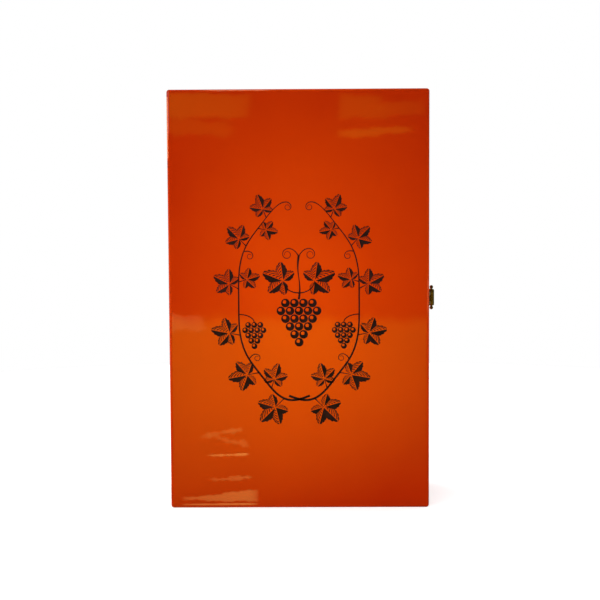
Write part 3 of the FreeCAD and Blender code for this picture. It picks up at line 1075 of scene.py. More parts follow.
    def draw_leaves(self, feet: np.ndarray, headings: np.ndarray, sizes: np.ndarray) -> None:
        """Draws vine leaves like woodcuts: solid on the shaded side of each vein, hatched on the other.

        A half lobe is a fan of angles from its vein to the notch. The strip beside a vein stays bare, which
        takes half its width over the radius off the angle. Hatching is every other band of the fan, slanted
        outwards away from the vein.

        Args:
            feet: where the veins of each leaf meet, by leaf and coordinate.
            headings: where each leaf points, in radians.
            sizes: the length of each leaf.
        """
        halves = self.leaf.halves()
        vein, notch = halves[:, 0, 0], halves[:, 1, 0]
        turn = np.sign(notch - vein)
        aside = headings[:, None] + (vein + turn * math.pi / 2)[None]
        lit = np.cos(aside - math.radians(self.light_degrees)) > 0
        across = np.linspace(0, 1, 4 * self.leaf.teeth + 1)
        edge, teeth = self.leaf.reach(halves, across)

        def fan(outward: np.ndarray, toothed: np.ndarray, chosen: np.ndarray) -> None:
            """Lays fans of half lobes.

            Args:
                outward: shares of the reach, by row and angle.
                toothed: shares of the teeth, by row.
                chosen: which halves to lay, by leaf and half.
            """
            which_leaf, which_half = np.nonzero(chosen)
            size = sizes[which_leaf][:, None, None]
            foot = self.leaf.foot_share * size
            smooth = foot + outward[None] * (size * edge[which_half][:, None, :] - foot)
            radius = smooth + toothed[None, :, None] * size * teeth[which_half][:, None, :]
            bare = self.line / 2 / radius
            spread = np.abs(notch - vein)[which_half][:, None, None]
            angle = turn[which_half][:, None, None] * (bare + across[None, None] * (spread - bare))
            angle = angle + vein[which_half][:, None, None] + headings[which_leaf][:, None, None]
            drawn = radius[..., None] * directions(angle)
            self.lay(drawn + feet[which_leaf][:, None, None])

        level = np.ones_like(across)
        fan(np.array([[0.0], [0.5], [1.0]]) * level, np.array([0.0, 0.0, 1.0]), ~lit)
        fan(np.array([[self.outline_share], [1.0]]) * level, np.array([0.0, 1.0]), lit)
        for start in np.linspace(*self.hatch_span, self.hatching):
            slanted = start + self.hatch_slant * across * (1 - start)
            fan(slanted + np.array([[0.0], [self.hatch_share / self.hatching]]), np.zeros(2), lit)

    def draw_bunch(self, top: np.ndarray, rows: tuple[int, ...], radius: float) -> None:
        """Draws a hanging bunch of grapes, each berry dark with a bare highlight towards the light.

        The inner outline of a berry's band is a small circle that swells towards the light.

        Args:
            top: the middle of the bunch's first row.
            rows: how many berries each row holds, from the top.
            radius: of a berry.
        """
        pitch, drop = (spacing * radius for spacing in self.berry_spacing)
        row = np.repeat(np.arange(len(rows)), rows)
        column = np.concatenate([np.arange(count) - (count - 1) / 2 for count in rows])
        places = np.stack([column * pitch, -row * drop], axis=-1) + top
        turn = np.linspace(0, 2 * math.pi, 24, endpoint=False)
        lit = np.maximum(np.cos(turn - math.radians(self.light_degrees)), 0)
        least, added, power = self.glint
        inner = radius * (least + added * lit**power)
        bands = np.stack([inner, np.full_like(turn, radius)])[..., None]
        ring = bands * directions(turn)
        self.lay(places[:, None, None] + ring[None], wrap_columns=True)

    def draw_tendrils(
        self, feet: np.ndarray, headings: np.ndarray, lengths: np.ndarray, curls: np.ndarray
    ) -> None:
        """Draws tendrils whose bend tightens along them, so that they end in a curl.

        The heading is the starting one plus the curl times a power of the share of the length travelled, and
        the points are the running sum of the steps.

        Args:
            feet: where they leave the branch, by tendril and coordinate.
            headings: where they start out, in radians.
            lengths: along the line.
            curls: how far each turns in all, in radians.
        """
        share = np.linspace(0, 1, 80)
        turn = headings[:, None] + curls[:, None] * share[None] ** self.tendril_power
        step = lengths[:, None, None] / (len(share) - 1)
        steps = directions(turn) * step
        curves = feet[:, None] + np.cumsum(steps, axis=1) - steps[:, :1]
        self.strokes(curves, self.line * np.linspace(*self.tendril_widths, len(share)))

    def draw_branch(self, side: float) -> None:
        """Draws one branch with its leaves, bunches and tendrils.

        Args:
            side: 1 for the right branch and -1 for the left.
        """
        low, high = self.branch_degrees
        steps = 120
        stem, _ = self.branch(np.linspace(low, high, steps), side)
        self.strokes(stem[None], np.linspace(*self.branch_width, steps))

        stem_widths = np.array(self.stem_widths) * self.line
        for degrees, outward, share in (
            (np.array(self.outer_leaf_degrees), 1.0, 1.0),
            (np.array(self.inner_leaf_degrees), -1.0, self.inner_leaf_share),
        ):
            feet, growth = self.branch(degrees, side)
            headings = growth - side * outward * math.radians(self.leaf_lean)
            sizes = share * np.interp(degrees, (low, high), self.leaf_size)
            way = directions(headings)
            ends = feet + way * (self.stem_share * sizes)[:, None]
            self.strokes(np.stack([feet, (feet + ends) / 2, ends], axis=1), stem_widths)
            self.draw_leaves(ends, headings, sizes)

        hang = np.linspace(0, math.pi / 2, 12)
        inwards, down = self.droop
        droop = np.stack([-side * inwards * np.sin(hang), -down * (1 - np.cos(hang))], axis=-1)
        first_row = droop[-1] - (0.0, self.hang_radii * self.berry_radius)
        for foot in self.branch(np.array(self.bunch_degrees), side)[0]:
            self.strokes((foot + droop)[None], np.full(len(hang), self.stalk_width * self.line))
            self.draw_bunch(foot + first_row, self.bunch_rows, self.berry_radius)

        places, leans, lengths, curls = np.array(self.tendrils).T
        feet, growth = self.branch(places, side)
        self.draw_tendrils(feet, growth + side * np.radians(leans), lengths, side * curls)

    def draw_middle(self) -> None:
        """Draws the bunch in the middle, with its stalk, two leaves and two tendrils.

        The stalk sways as one turn of a sine, and a leaf's stem is a quarter of an ellipse.
        """
        radius, size = self.middle_berry_radius, self.middle_leaf_size
        top = np.array([0.0, self.middle_height])
        self.draw_bunch(top, self.middle_rows, radius)
        knot = top + (0.0, self.hang_radii * radius)
        rise = np.linspace(0, 1, 24)
        sway = self.middle_sway * np.sin(2 * math.pi * rise)
        stalk = knot + np.stack([sway, self.middle_stalk_share * size * rise], axis=-1)
        mean, swell = self.middle_stalk_widths
        self.strokes(stalk[None], self.line * (mean + swell * np.cos(2 * math.pi * rise)))
        aside, bend_up, start_up = (share * size for share in self.middle_stem_shares)
        bend = np.linspace(0, math.pi / 2, 10)
        curve = np.stack([aside * np.sin(bend), bend_up * (1 - np.cos(bend)) + start_up], axis=-1)
        stems = knot + np.stack([curve * (side, 1.0) for side in (-1.0, 1.0)])
        self.strokes(stems, self.line * np.linspace(*self.middle_stem_widths, len(bend)))
        self.draw_leaves(stems[:, -1], np.radians(self.middle_leaf_degrees), np.full(len(stems), size))
        degrees, lengths, curls = np.array(self.middle_tendrils).T
        starts = np.repeat(stalk[-1:] - (0.0, self.middle_tendril_drop), len(degrees), axis=0)
        self.draw_tendrils(starts, np.radians(degrees), lengths, curls)

    def build(self) -> Object:
        """Makes the print, a thin layer that is closed all round.

        Returns:
            The piece.
        """
        for side in (-1.0, 1.0):
            self.draw_branch(side)
        self.draw_middle()
        drawing = Surface.joined(self.parts)
        corners = drawing.points[np.array(drawing.faces)]
        first, second = corners[:, 1] - corners[:, 0], corners[:, 3] - corners[:, 0]
        inward = np.cross(first, second)[:, 1] > 0
        faces = [face[::-1] if turned else face for face, turned in zip(drawing.faces, inward)]
        piece = make_piece(
            "lid_vine_print", Surface(drawing.points, faces), self.finish, sharp_degrees=0.0, closed=False
        )
        layer = piece.modifiers.new("ink_layer", "SOLIDIFY")
        layer.thickness = self.depth * MM
        layer.offset = -1.0
        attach(piece, "lid")
        return piece


@dataclass
class BottleCradle:
    """The velvet-covered foam block with two bottle-shaped wells.

    Attributes:
        finish: the velvet.
        well_radius: round a bottle's body.
        neck_radius: round its neck.
        ridge: the foam between the wells.
        margin: the foam outside the wells, at the sides and the ends.
        body_length: of a well's wide part.
        shoulder_length: of its shoulder.
        floor: the foam behind a well.
        mouth_radius: where a well turns over into the front face.
        edge_radius: of the block's own edges.
        unevenness: how far the foam's hollows wave in or out.
        wave_lengths: of the two waves in them, across and up; a minus slants a wave the other way.
        flat_depth: within this of the face and the back there are no waves.
        arc_steps: of each rounded edge.
        bowl_steps: of a well's half circle.
        body_rows: along a well's wide part.
        shoulder_rows: along its shoulder.
        neck_rows: along its neck.
    """

    finish: Material
    well_radius: float = 39.5
    neck_radius: float = 16.5
    ridge: float = 17.0
    margin: float = 10.7
    body_length: float = 190.0
    shoulder_length: float = 40.0
    floor: float = 8.0
    mouth_radius: float = 3.2
    edge_radius: float = 2.2
    unevenness: float = 0.25
    wave_lengths: tuple[tuple[float, float], ...] = ((23.0, 31.0), (-41.0, 17.0))
    flat_depth: float = 0.5
    arc_steps: int = 6
    bowl_steps: int = 32
    body_rows: int = 24
    shoulder_rows: int = 29
    neck_rows: int = 10

    def radius_at(self, share: np.ndarray) -> np.ndarray:
        """A well's radius along its shoulder, from body to neck.

        Two equal arcs, one bulging and one hollow, meet half-way, so that both ends run straight on.

        Args:
            share: how far along the shoulder, from 0 to 1.

        Returns:
            The radius at each place.
        """
        step = self.well_radius - self.neck_radius
        bend = (step**2 + self.shoulder_length**2) / (4 * step)
        run = self.shoulder_length * np.minimum(share, 1 - share)
        dip = bend - np.sqrt(bend**2 - run**2)
        return np.where(share < 0.5, self.well_radius - dip, self.neck_radius + dip)

    def section(self, radii: np.ndarray, rise: float) -> tuple[np.ndarray, np.ndarray]:
        """One well across, for each of several radii: over its mouth, round its half circle and out again.

        Args:
            radii: the well's radius, by row.
            rise: from the front face to the bottle's axis.

        Returns:
            Offsets from the bottle's axis and depths below the front face, by row and point.
        """
        lip = np.radians(np.linspace(0, 90, self.arc_steps + 1))
        bowl = np.radians(np.linspace(0, 180, self.bowl_steps + 1))
        wide, mouth = radii[:, None], self.mouth_radius
        lip_out, lip_down = mouth * (1 - np.sin(lip)), mouth * (1 - np.cos(lip))
        left = -wide - lip_out
        middle = -wide * np.cos(bowl)
        offsets = np.concatenate([left, middle, -left[:, ::-1]], axis=1)
        rows = np.ones_like(wide)
        round_wall = rise + wide * np.sin(bowl)
        depths = np.concatenate([rows * lip_down, round_wall, rows * lip_down[::-1]], axis=1)
        return offsets, depths

    def surface(self) -> Surface:
        """The block: its section across, carried up the box, with the wells' ends and the edges rounded.

        A row's depth is the section's, held above a floor that the ends of the wells raise and below a
        level that the ends of the block lower. In the hollows a product of two slow sines is added, and the
        face and the back stay flat.

        Returns:
            The closed surface.
        """
        box = node_span("bottle_cradle")
        half_x = (box[1, 0] - box[0, 0]) / 2
        thickness = box[1, 1] - box[0, 1]
        low, high = box[:, 2]
        foot, tip = low + self.margin, high - self.margin
        shoulder = foot + self.body_length
        neck = shoulder + self.shoulder_length
        quarter = np.radians(np.linspace(0, 90, self.arc_steps + 1))
        ramp, drop = np.sin(quarter), 1 - np.cos(quarter)
        deep = np.full(1, np.inf)

        def stretch(heights: np.ndarray, radius: Any, floors: Any, levels: Any) -> np.ndarray:
            """One run of rows: their heights, well radii, deepest depths and least depths."""
            return np.stack(np.broadcast_arrays(heights, radius, floors, levels), axis=1)

        edge, mouth = self.edge_radius, self.mouth_radius
        shares = np.linspace(0, 1, self.shoulder_rows)
        rows = np.concatenate([
            stretch(np.array([low]), self.well_radius, 0.0, thickness),
            stretch(low + edge * drop, self.well_radius, 0.0, edge * (1 - ramp)),
            stretch(foot - mouth * (1 - ramp), self.well_radius, mouth * drop, 0.0),
            stretch(np.linspace(foot, shoulder, self.body_rows), self.well_radius, deep, 0.0),
            stretch(shoulder + self.shoulder_length * shares, self.radius_at(shares), deep, 0.0),
            stretch(np.linspace(neck, tip, self.neck_rows), self.neck_radius, deep, 0.0),
            stretch(tip + mouth * (1 - ramp[::-1]), self.neck_radius, mouth * drop[::-1], 0.0),
            stretch(high - edge * drop[::-1], self.neck_radius, 0.0, edge * (1 - ramp[::-1])),
            stretch(np.array([high]), self.neck_radius, 0.0, thickness),
        ])
        heights, radii, floors, levels = rows.T
        axis_x = self.ridge / 2 + self.well_radius
        rise = thickness - self.floor - self.well_radius
        offsets, depths = self.section(radii, rise)
        depths = np.minimum(depths, floors[:, None])
        side_x = np.concatenate([[half_x], half_x - edge * drop])
        side_depth = np.concatenate([[thickness], edge * (1 - ramp)])
        count = len(heights)
        plain = np.zeros((count, 1))
        left_x, right_x = np.tile(-side_x, (count, 1)), np.tile(side_x[::-1], (count, 1))
        left_down, right_down = np.tile(side_depth, (count, 1)), np.tile(side_depth[::-1], (count, 1))
        across = np.concatenate([left_x, offsets - axis_x, plain, offsets + axis_x, right_x], axis=1)
        down = np.concatenate([left_down, depths, plain, depths, right_down], axis=1)
        down = np.maximum(down, levels[:, None])
        up = np.broadcast_to(heights[:, None], down.shape)
        waves = [np.sin(across / aside + up / along) for aside, along in self.wave_lengths]
        soft = self.unevenness * np.prod(waves, axis=0)
        hollow = (down > self.flat_depth) & (down < thickness - self.flat_depth)
        points = np.stack([across, box[0, 1] + np.where(hollow, down + soft, down), up], axis=-1)
        block = Surface.grid(points)
        index = np.arange(len(block.points)).reshape(points.shape[:2])
        loop = np.concatenate([index[0, :-1], index[:-1, -1], index[-1, :0:-1], index[:0:-1, 0]])
        return block.capped(loop)

    def build(self) -> Object:
        """Makes the cradle.

        Returns:
            The piece.
        """
        piece = make_piece("velvet_bottle_cradle", self.surface(), self.finish, sharp_degrees=60.0)
        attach(piece, "base")
        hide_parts("bottle_cradle")
        return piece


@dataclass
class VelvetLip:
    """The velvet-covered lining boards, which stand out of the base as the lip that the lid closes over.

    Attributes:
        finish: the velvet.
        thickness: of a covered board.
        rebate: how much thinner the boards are where they stand out.
        corner_radius: of the covered corners outside.
        least_radius: of the corners inside.
        arc_steps: of each rounding.
    """

    finish: Material
    thickness: float = 2.5
    rebate: float = 0.5
    corner_radius: float = 1.2
    least_radius: float = 0.7
    arc_steps: int = 6

    def surface(self) -> Surface:
        """A board's section, round at its free edge, carried round the inside of the base.

        Returns:
            The closed surface.
        """
        boxes = np.stack([node_span(f"base_{side}_lining") for side in SIDES])
        low, high = boxes[:, 0].min(axis=0), boxes[:, 1].max(axis=0)
        rim_y = node_span("base_left_wall")[0, 1]
        radius = (self.thickness - self.rebate) / 2
        top = low[1] + radius
        middle = self.rebate + radius
        near_side = arc((middle, top), (self.rebate, top), (middle, low[1]), self.arc_steps)
        far_side = arc((middle, top), (middle, low[1]), (self.thickness, top), self.arc_steps)
        section = np.concatenate([
            [(0, high[1]), (0, rim_y), (self.rebate, rim_y)],
            near_side,
            far_side[1:],
            [(self.thickness, high[1])],
        ])
        path = RoundedPath.rectangle(
            high[0], (low[2], high[2]), self.corner_radius, self.least_radius, self.arc_steps
        )
        shape = (len(section), len(path.centres))
        insets = np.broadcast_to(section[:, :1], shape)
        depths = np.broadcast_to(section[:, 1:], shape)
        return Surface.grid(path.rings(insets, depths), wrap_rows=True, wrap_columns=True)

    def build(self) -> Object:
        """Makes the lip.

        Returns:
            The piece.
        """
        piece = make_piece("velvet_lining_lip", self.surface(), self.finish)
        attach(piece, "base")
        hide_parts(*(f"base_{side}_lining" for side in SIDES))
        return piece


@dataclass
class SatinPad:
    """The padded satin panel inside the lid.

    The cover is a sheet of cloth wider than its board. As its held edge is drawn in to the board's width, it
    gathers into upright folds, while weak pins hold it to the wadding below.

    Attributes:
        finish: the satin.
        spacing: of the simulated cloth's points.
        edge_height: the pad's height at its edge.
        least_height: the lowest that a fold may dip.
        rise_share: how high the cover stands inside its edge, as a share of the CAD pad's thickness.
        crown_share: how much higher its middle is.
        rounding: how far from the edge it has risen by two thirds.
        unrest: the waves that the folds grow from: length, drift and phase of each.
        unrest_height: of each wave.
        drift_turn: how far a wave's phase drifts to either side, in radians.
        slack: how much wider the cloth is than the board, as a share.
        wadding: how firmly the wadding holds the cover, from 0 to 1.
        frames: how long the cloth settles.
        drawing_share: of that time, how long its edge is drawn in.
        quality: steps of the simulation in a frame.
        point_mass: of one point of the cloth, in kilograms.
        stretch_stiffness: against stretching and squeezing.
        shear_stiffness: against slanting.
        bending_stiffness: against folding.
    """

    finish: Material
    spacing: float = 3.0
    edge_height: float = 1.2
    least_height: float = 0.4
    rise_share: float = 0.55
    crown_share: float = 0.12
    rounding: float = 8.0
    unrest: tuple[tuple[float, float, float], ...] = (
        (3.45, 41.0, 0.0),
        (2.33, 57.0, 4.1),
        (1.49, 29.0, 2.0),
    )
    unrest_height: float = 0.15
    drift_turn: float = 1.2
    slack: float = 0.12
    wadding: float = 0.1
    frames: int = 25
    drawing_share: float = 0.6
    quality: int = 6
    point_mass: float = 0.15
    stretch_stiffness: float = 12.0
    shear_stiffness: float = 4.0
    bending_stiffness: float = 0.6

    def resting_sheet(self, box: np.ndarray) -> np.ndarray:
        """The cover before it gathers: low at the edge, crowned in the middle, with faint upright waves.

        The height rises from the edge as one less an exponential, the crown is a product of two parabolas,
        and a wave is a sine across whose phase drifts as a sine upwards.

        Args:
            box: the CAD pad's corners.

        Returns:
            The sheet's points, by row, column and coordinate.
        """
        counts = np.ceil((box[1] - box[0]) / self.spacing).astype(int)
        columns, rows = np.linspace(*box[::-1, 0], counts[0] + 1), np.linspace(*box[:, 2], counts[2] + 1)
        x, z = np.meshgrid(columns, rows)
        inside = np.minimum.reduce([x - box[0, 0], box[1, 0] - x, z - box[0, 2], box[1, 2] - z])
        middle, half = box.mean(axis=0), (box[1] - box[0]) / 2
        thickness = 2 * half[1]
        swell = 1 - np.exp(-inside / self.rounding)
        crown = (1 - ((x - middle[0]) / half[0]) ** 2) * (1 - ((z - middle[2]) / half[2]) ** 2)
        waves = sum(
            np.sin(x / length + self.drift_turn * np.sin(z / drift + phase))
            for length, drift, phase in self.unrest
        )
        rise = self.rise_share * thickness - self.edge_height + self.unrest_height * waves
        height = self.edge_height + rise * swell + self.crown_share * thickness * crown
        return np.stack([x, box[0, 1] + height, z], axis=-1)

    def gathered(self, sheet: np.ndarray) -> np.ndarray:
        """Lets the cover gather as cloth while its edge is drawn in.

        Args:
            sheet: the points before that, with the edge where it ends up.

        Returns:
            The points afterwards.
        """
        points = sheet.reshape(-1, 3)
        middle = points.mean(axis=0)
        wide = middle + (points - middle) * (1 + self.slack, 1.0, 1.0)
        cover = make_piece(
            "satin_cover_trial",
            Surface.grid(wide.reshape(sheet.shape)),
            self.finish,
            closed=False,
            merge_mm=0.0,
        )
        edge = np.zeros(sheet.shape[:2], dtype=bool)
        edge[[0, -1]] = True
        edge[:, [0, -1]] = True
        group = cover.vertex_groups.new(name="held")
        group.add(np.flatnonzero(~edge).tolist(), self.wadding, "REPLACE")
        group.add(np.flatnonzero(edge).tolist(), 1.0, "REPLACE")
        cover.shape_key_add(name="wide")
        drawn_in = cover.shape_key_add(name="drawn_in")
        drawn_in.data.foreach_set("co", (points * MM).ravel())
        for value, moment in ((0.0, 1), (1.0, int(self.drawing_share * self.frames))):
            drawn_in.value = value
            drawn_in.keyframe_insert("value", frame=moment)
        cloth = cover.modifiers.new("cloth", "CLOTH")
        rules = cloth.settings
        rules.quality = self.quality
        rules.mass = self.point_mass
        rules.tension_stiffness = rules.compression_stiffness = self.stretch_stiffness
        rules.shear_stiffness = self.shear_stiffness
        rules.bending_stiffness = self.bending_stiffness
        rules.vertex_group_mass = group.name
        rules.effector_weights.gravity = 0.0
        cloth.point_cache.frame_start, cloth.point_cache.frame_end = 1, self.frames
        scene = bpy.context.scene
        for moment in range(1, self.frames + 1):
            scene.frame_set(moment)
        evaluated = cover.evaluated_get(bpy.context.evaluated_depsgraph_get())
        places = np.empty(points.size, dtype=np.float32)
        evaluated.data.vertices.foreach_get("co", places)
        mesh = cover.data
        bpy.data.actions.remove(mesh.shape_keys.animation_data.action)
        bpy.data.objects.remove(cover)
        bpy.data.meshes.remove(mesh)
        scene.frame_set(1)
        return places.reshape(sheet.shape).astype(float) / MM

    def surface(self) -> Surface:
        """The gathered cover, turned down to a flat back along its edge.

        Returns:
            The closed surface.
        """
        box = node_span("lid_lining_pad")
        sheet = self.resting_sheet(box)
        sheet = np.clip(self.gathered(sheet), box[0] + (0, self.least_height, 0), box[1])
        back = sheet.copy()
        back[..., 1] = box[0, 1]
        sides = np.stack([sheet, back])
        edge = [sides[:, 0, :-1], sides[:, :-1, -1], sides[:, -1, :0:-1], sides[:, :0:-1, 0]]
        skirt = Surface.grid(np.concatenate(edge, axis=1), wrap_columns=True)
        return Surface.joined([Surface.grid(sides), skirt])

    def build(self) -> Object:
        """Makes the pad.

        Returns:
            The piece.
        """
        piece = make_piece("satin_lid_pad", self.surface(), self.finish, sharp_degrees=65.0)
        smooth = piece.modifiers.new("smooth", "SUBSURF")
        smooth.levels = smooth.render_levels = 1
        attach(piece, "lid")
        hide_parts("lid_lining_pad")
        return piece


@dataclass
class Hardware:
    """The brass hinges and hasp, which keep their CAD shapes.

    Attributes:
        finish: the brass of the leaves, plates, pins and strap.
        screw_finish: the brighter brass of the screws, by which their heads show.
        slot: the record's slot of the nodes that it dresses.
    """

    finish: Material
    screw_finish: Material
    slot: str = "brass"

    def dress(self) -> list[Object]:
        """Gives every brass node its material.

        Returns:
            The pieces that it dressed.
        """
        slots = {part["node"]: part["material_slot"] for part in frame["record"]["subparts"]}
        pieces = [node for name, node in sorted(frame["nodes"].items()) if slots[name] == self.slot]
        for piece in pieces:
            piece.data.materials.clear()
            piece.data.materials.append(self.screw_finish if "screws" in piece.name else self.finish)
        return pieces


@dataclass(frozen=True)
class SoftBox:
    """A rectangular soft light.

    Attributes:
        name: of the lamp.
        place: where it hangs, in metres.
        aim: what it points at, in metres.
        size: across and up, in metres.
        watts: its power.
        colour: of its light.
        reflected: whether polished surfaces show it.
        lighting: whether it lights dull surfaces.
    """

    name: str
    place: tuple[float, float, float]
    aim: tuple[float, float, float]
    size: tuple[float, float]
    watts: float
    colour: str = "#FFFFFF"
    reflected: bool = True
    lighting: bool = True

    def hang(self) -> None:
        """Adds the lamp to the scene."""
        lamp = bpy.data.lights.new(self.name, "AREA")
        lamp.energy = self.watts
        lamp.color = linear(self.colour)[:3]
        lamp.shape = "RECTANGLE"
        lamp.size, lamp.size_y = self.size
        holder = bpy.data.objects.new(self.name, lamp)
        holder.location = self.place
        way = Vector(self.aim) - Vector(self.place)
        holder.rotation_euler = way.to_track_quat("-Z", "Y").to_euler()
        holder.visible_camera = False
        holder.visible_glossy = self.reflected
        holder.visible_diffuse = self.lighting
        bpy.context.scene.collection.objects.link(holder)


class Fade(Enum):
    """How the brightness of something changes across it."""

    EDGES = auto()
    DOWN = auto()


@dataclass(frozen=True)
class BrightThing:
    """Something bright in the dim room in front of the box, by the place on the lid that mirrors it.

    Attributes:
        across: the left and right ends on the lid, from its middle.
        left: the lower and upper heights on the lid at the left end.
        right: the same at the right end.
        levels: how much light it adds at the left and right ends, where white is 1.
        fade: how it fades.
        ripple: how far its lower and upper edges waver on the lid.
        colour: of its light.
    """

    across: tuple[float, float]
    left: tuple[float, float]
    right: tuple[float, float]
    levels: tuple[float, float]
    fade: Fade = Fade.EDGES
    ripple: float = 0.7
    colour: str = "#FFD02A"


@dataclass
class DimRoom:
    """The dim room in front of the box, as far as the polished lid mirrors it.

    Attributes:
        eye: the place from which the lid is looked at, in metres.
        distance: from the lid to the wall opposite, in metres.
        table_gap: how far the things on the table lie above it, in millimetres.
        layer: how much nearer each thing is than the one before, as a share.
        lamplight: the colour of lamps and of their streaks on the floor.
        steps: of the grid that each thing is made of.
        edge_power: the higher, the later a thing fades towards its edges.
        fall_power: the higher, the later the floor fades downwards.
        onset_share: of the floor's height, over which its light sets in at the top.
        ripple_lengths: of the sines by which edges waver.
        ripple_shift: by how much they are shifted from thing to thing.
    """

    eye: tuple[float, float, float]
    distance: float = 1.1
    table_gap: float = 0.5
    layer: float = 0.003
    lamplight: str = "#FFCB64"
    steps: int = 64
    edge_power: float = 9.0
    fall_power: float = 2.2
    onset_share: float = 0.085
    ripple_lengths: tuple[float, ...] = (7.0, 2.9, 1.1)
    ripple_shift: float = 5.0

    def things(self) -> list[BrightThing]:
        """Lit walls at the top, a lit floor from half-way down, a lamp at its edge and strips of light."""
        lamp = self.lamplight
        return [
            BrightThing((-118, -38), (330, 354), (331, 351), (1.3, 0.8), ripple=1.2),
            BrightThing((-118, -53), (318, 331), (315, 329), (0.68, 0.5), ripple=2.0),
            BrightThing((33, 71), (329, 351), (330, 350), (0.68, 0.63), ripple=1.2),
            BrightThing((67, 106), (330, 342), (333, 347), (0.6, 0.38), ripple=1.6),
            BrightThing((33, 97), (312.5, 321.5), (318, 324), (1.15, 1.0), ripple=1.2),
            BrightThing((-112, 112), (-25, 170), (17, 167), (1.65, 1.0), Fade.DOWN, ripple=2.2),
            BrightThing((-120, -79), (151, 168), (153, 166), (1.4, 0.9), ripple=1.6, colour="#FFC47A"),
            BrightThing((-85, -48), (59.5, 62.5), (66.5, 70.5), (1.1, 2.3), ripple=1.3, colour=lamp),
            BrightThing((-78, -43), (60.5, 64.5), (52.5, 57.5), (0.8, 1.8), ripple=1.6, colour=lamp),
            BrightThing((-79, -43), (44.6, 46.2), (45.4, 47.2), (4.0, 5.8), ripple=0.3, colour=lamp),
            BrightThing((-78, -40), (23.2, 25.8), (24.6, 27.8), (1.2, 2.5), ripple=1.1, colour=lamp),
            BrightThing((-100, -34), (6.8, 8.6), (4.6, 16.6), (2.3, 3.8), ripple=0.8, colour=lamp),
            BrightThing((-101, -35), (2.0, 3.6), (2.4, 4.2), (3.2, 5.4), ripple=0.2, colour=lamp),
        ]

    def grids(self) -> tuple[np.ndarray, np.ndarray]:
        """Places the bright things where straight lines from the mirrored eye through the lid meet them.

        A line ends at the wall or on the table, whichever is nearer. Edges waver by a sum of sines. A level
        that fades downwards is one less a power of the share from the top, after a smooth step; one that
        fades at the edges is a product of such powers of the shares from the middle, across and up.

        Returns:
            The points in millimetres, by thing, row, column and coordinate, and the colour of their light.
        """
        things = self.things()
        panel = node_span("lid_front_panel")
        share = np.linspace(0, 1, self.steps + 1)
        across = np.array([thing.across for thing in things], dtype=float)
        spans = np.array([(thing.left, thing.right) for thing in things], dtype=float)
        x = across[:, :1] + (across[:, 1:] - across[:, :1]) * share
        low = spans[:, 0, :1] + (spans[:, 1, :1] - spans[:, 0, :1]) * share
        high = spans[:, 0, 1:] + (spans[:, 1, 1:] - spans[:, 0, 1:]) * share
        z = low[:, None, :] + (high - low)[:, None, :] * share[None, :, None]
        ripple = np.array([thing.ripple for thing in things])[:, None]

        def waver(along: np.ndarray, phase: float) -> np.ndarray:
            """How far each thing's edge wavers at places along it."""
            shifted = along + self.ripple_shift * (np.arange(len(things))[:, None] + phase)
            return ripple * sum(np.sin(shifted / length) for length in self.ripple_lengths) / 2

        lower, upper = waver(x, 0.0)[:, None], waver(x, 2.0)[:, None]
        aside = waver(z[:, :, 0], 1.0)[..., None]
        z = z + lower + (upper - lower) * share[None, :, None]
        x = x[:, None, :] + aside
        face = np.full_like(z, panel[0, 1])
        on_lid = np.stack([x + panel[:, 0].mean(), face, z + panel[0, 2]], axis=-1)
        eye = np.array(self.eye) / MM
        eye[1] = 2 * panel[0, 1] - eye[1]
        to_wall = 1 + self.distance / MM / (eye[1] - panel[0, 1])
        drop = np.maximum(eye[2] - on_lid[..., 2], 1.0)
        to_table = (eye[2] - self.table_gap) / drop
        nearer = 1 - self.layer * np.arange(len(things))[:, None, None]
        reach = 1 + (np.minimum(to_wall, to_table) - 1) * nearer
        inside = 1 - np.abs(2 * share - 1) ** self.edge_power
        onset = np.clip((1 - share) / self.onset_share, 0, 1)
        fall = (1 - (1 - share) ** self.fall_power) * onset**2 * (3 - 2 * onset)
        down = np.tile(fall[:, None], len(share))
        fades = {Fade.EDGES: np.outer(inside, inside), Fade.DOWN: down}
        ends = np.array([thing.levels for thing in things], dtype=float)
        along = ends[:, :1] + (ends[:, 1:] - ends[:, :1]) * share
        levels = along[:, None, :] * np.stack([fades[thing.fade] for thing in things])
        colours = np.array([linear(thing.colour) for thing in things])
        return eye + reach[..., None] * (on_lid - eye), levels[..., None] * colours[:, None, None]

    def build(self) -> None:
        """Makes the bright things, which only polished surfaces show."""
        material, add = new_material("lit_room")
        light = add("ShaderNodeAttribute", {"attribute_name": "light"})
        glow = add("ShaderNodeEmission", links={"Color": light.outputs["Color"]})
        behind = add("ShaderNodeBsdfTransparent", {"Color": linear("#FFFFFF")})
        both = add("ShaderNodeAddShader", links={0: glow, 1: behind})
        add("ShaderNodeOutputMaterial", links={"Surface": both})
        points, lights = self.grids()
        room = make_piece("dim_room", Surface.grid(points), material, merge_mm=0.0, closed=False)
        shade = room.data.attributes.new("light", "FLOAT_COLOR", "POINT")
        shade.data.foreach_set("color", lights.ravel())
        room.visible_camera = room.visible_diffuse = room.visible_shadow = False


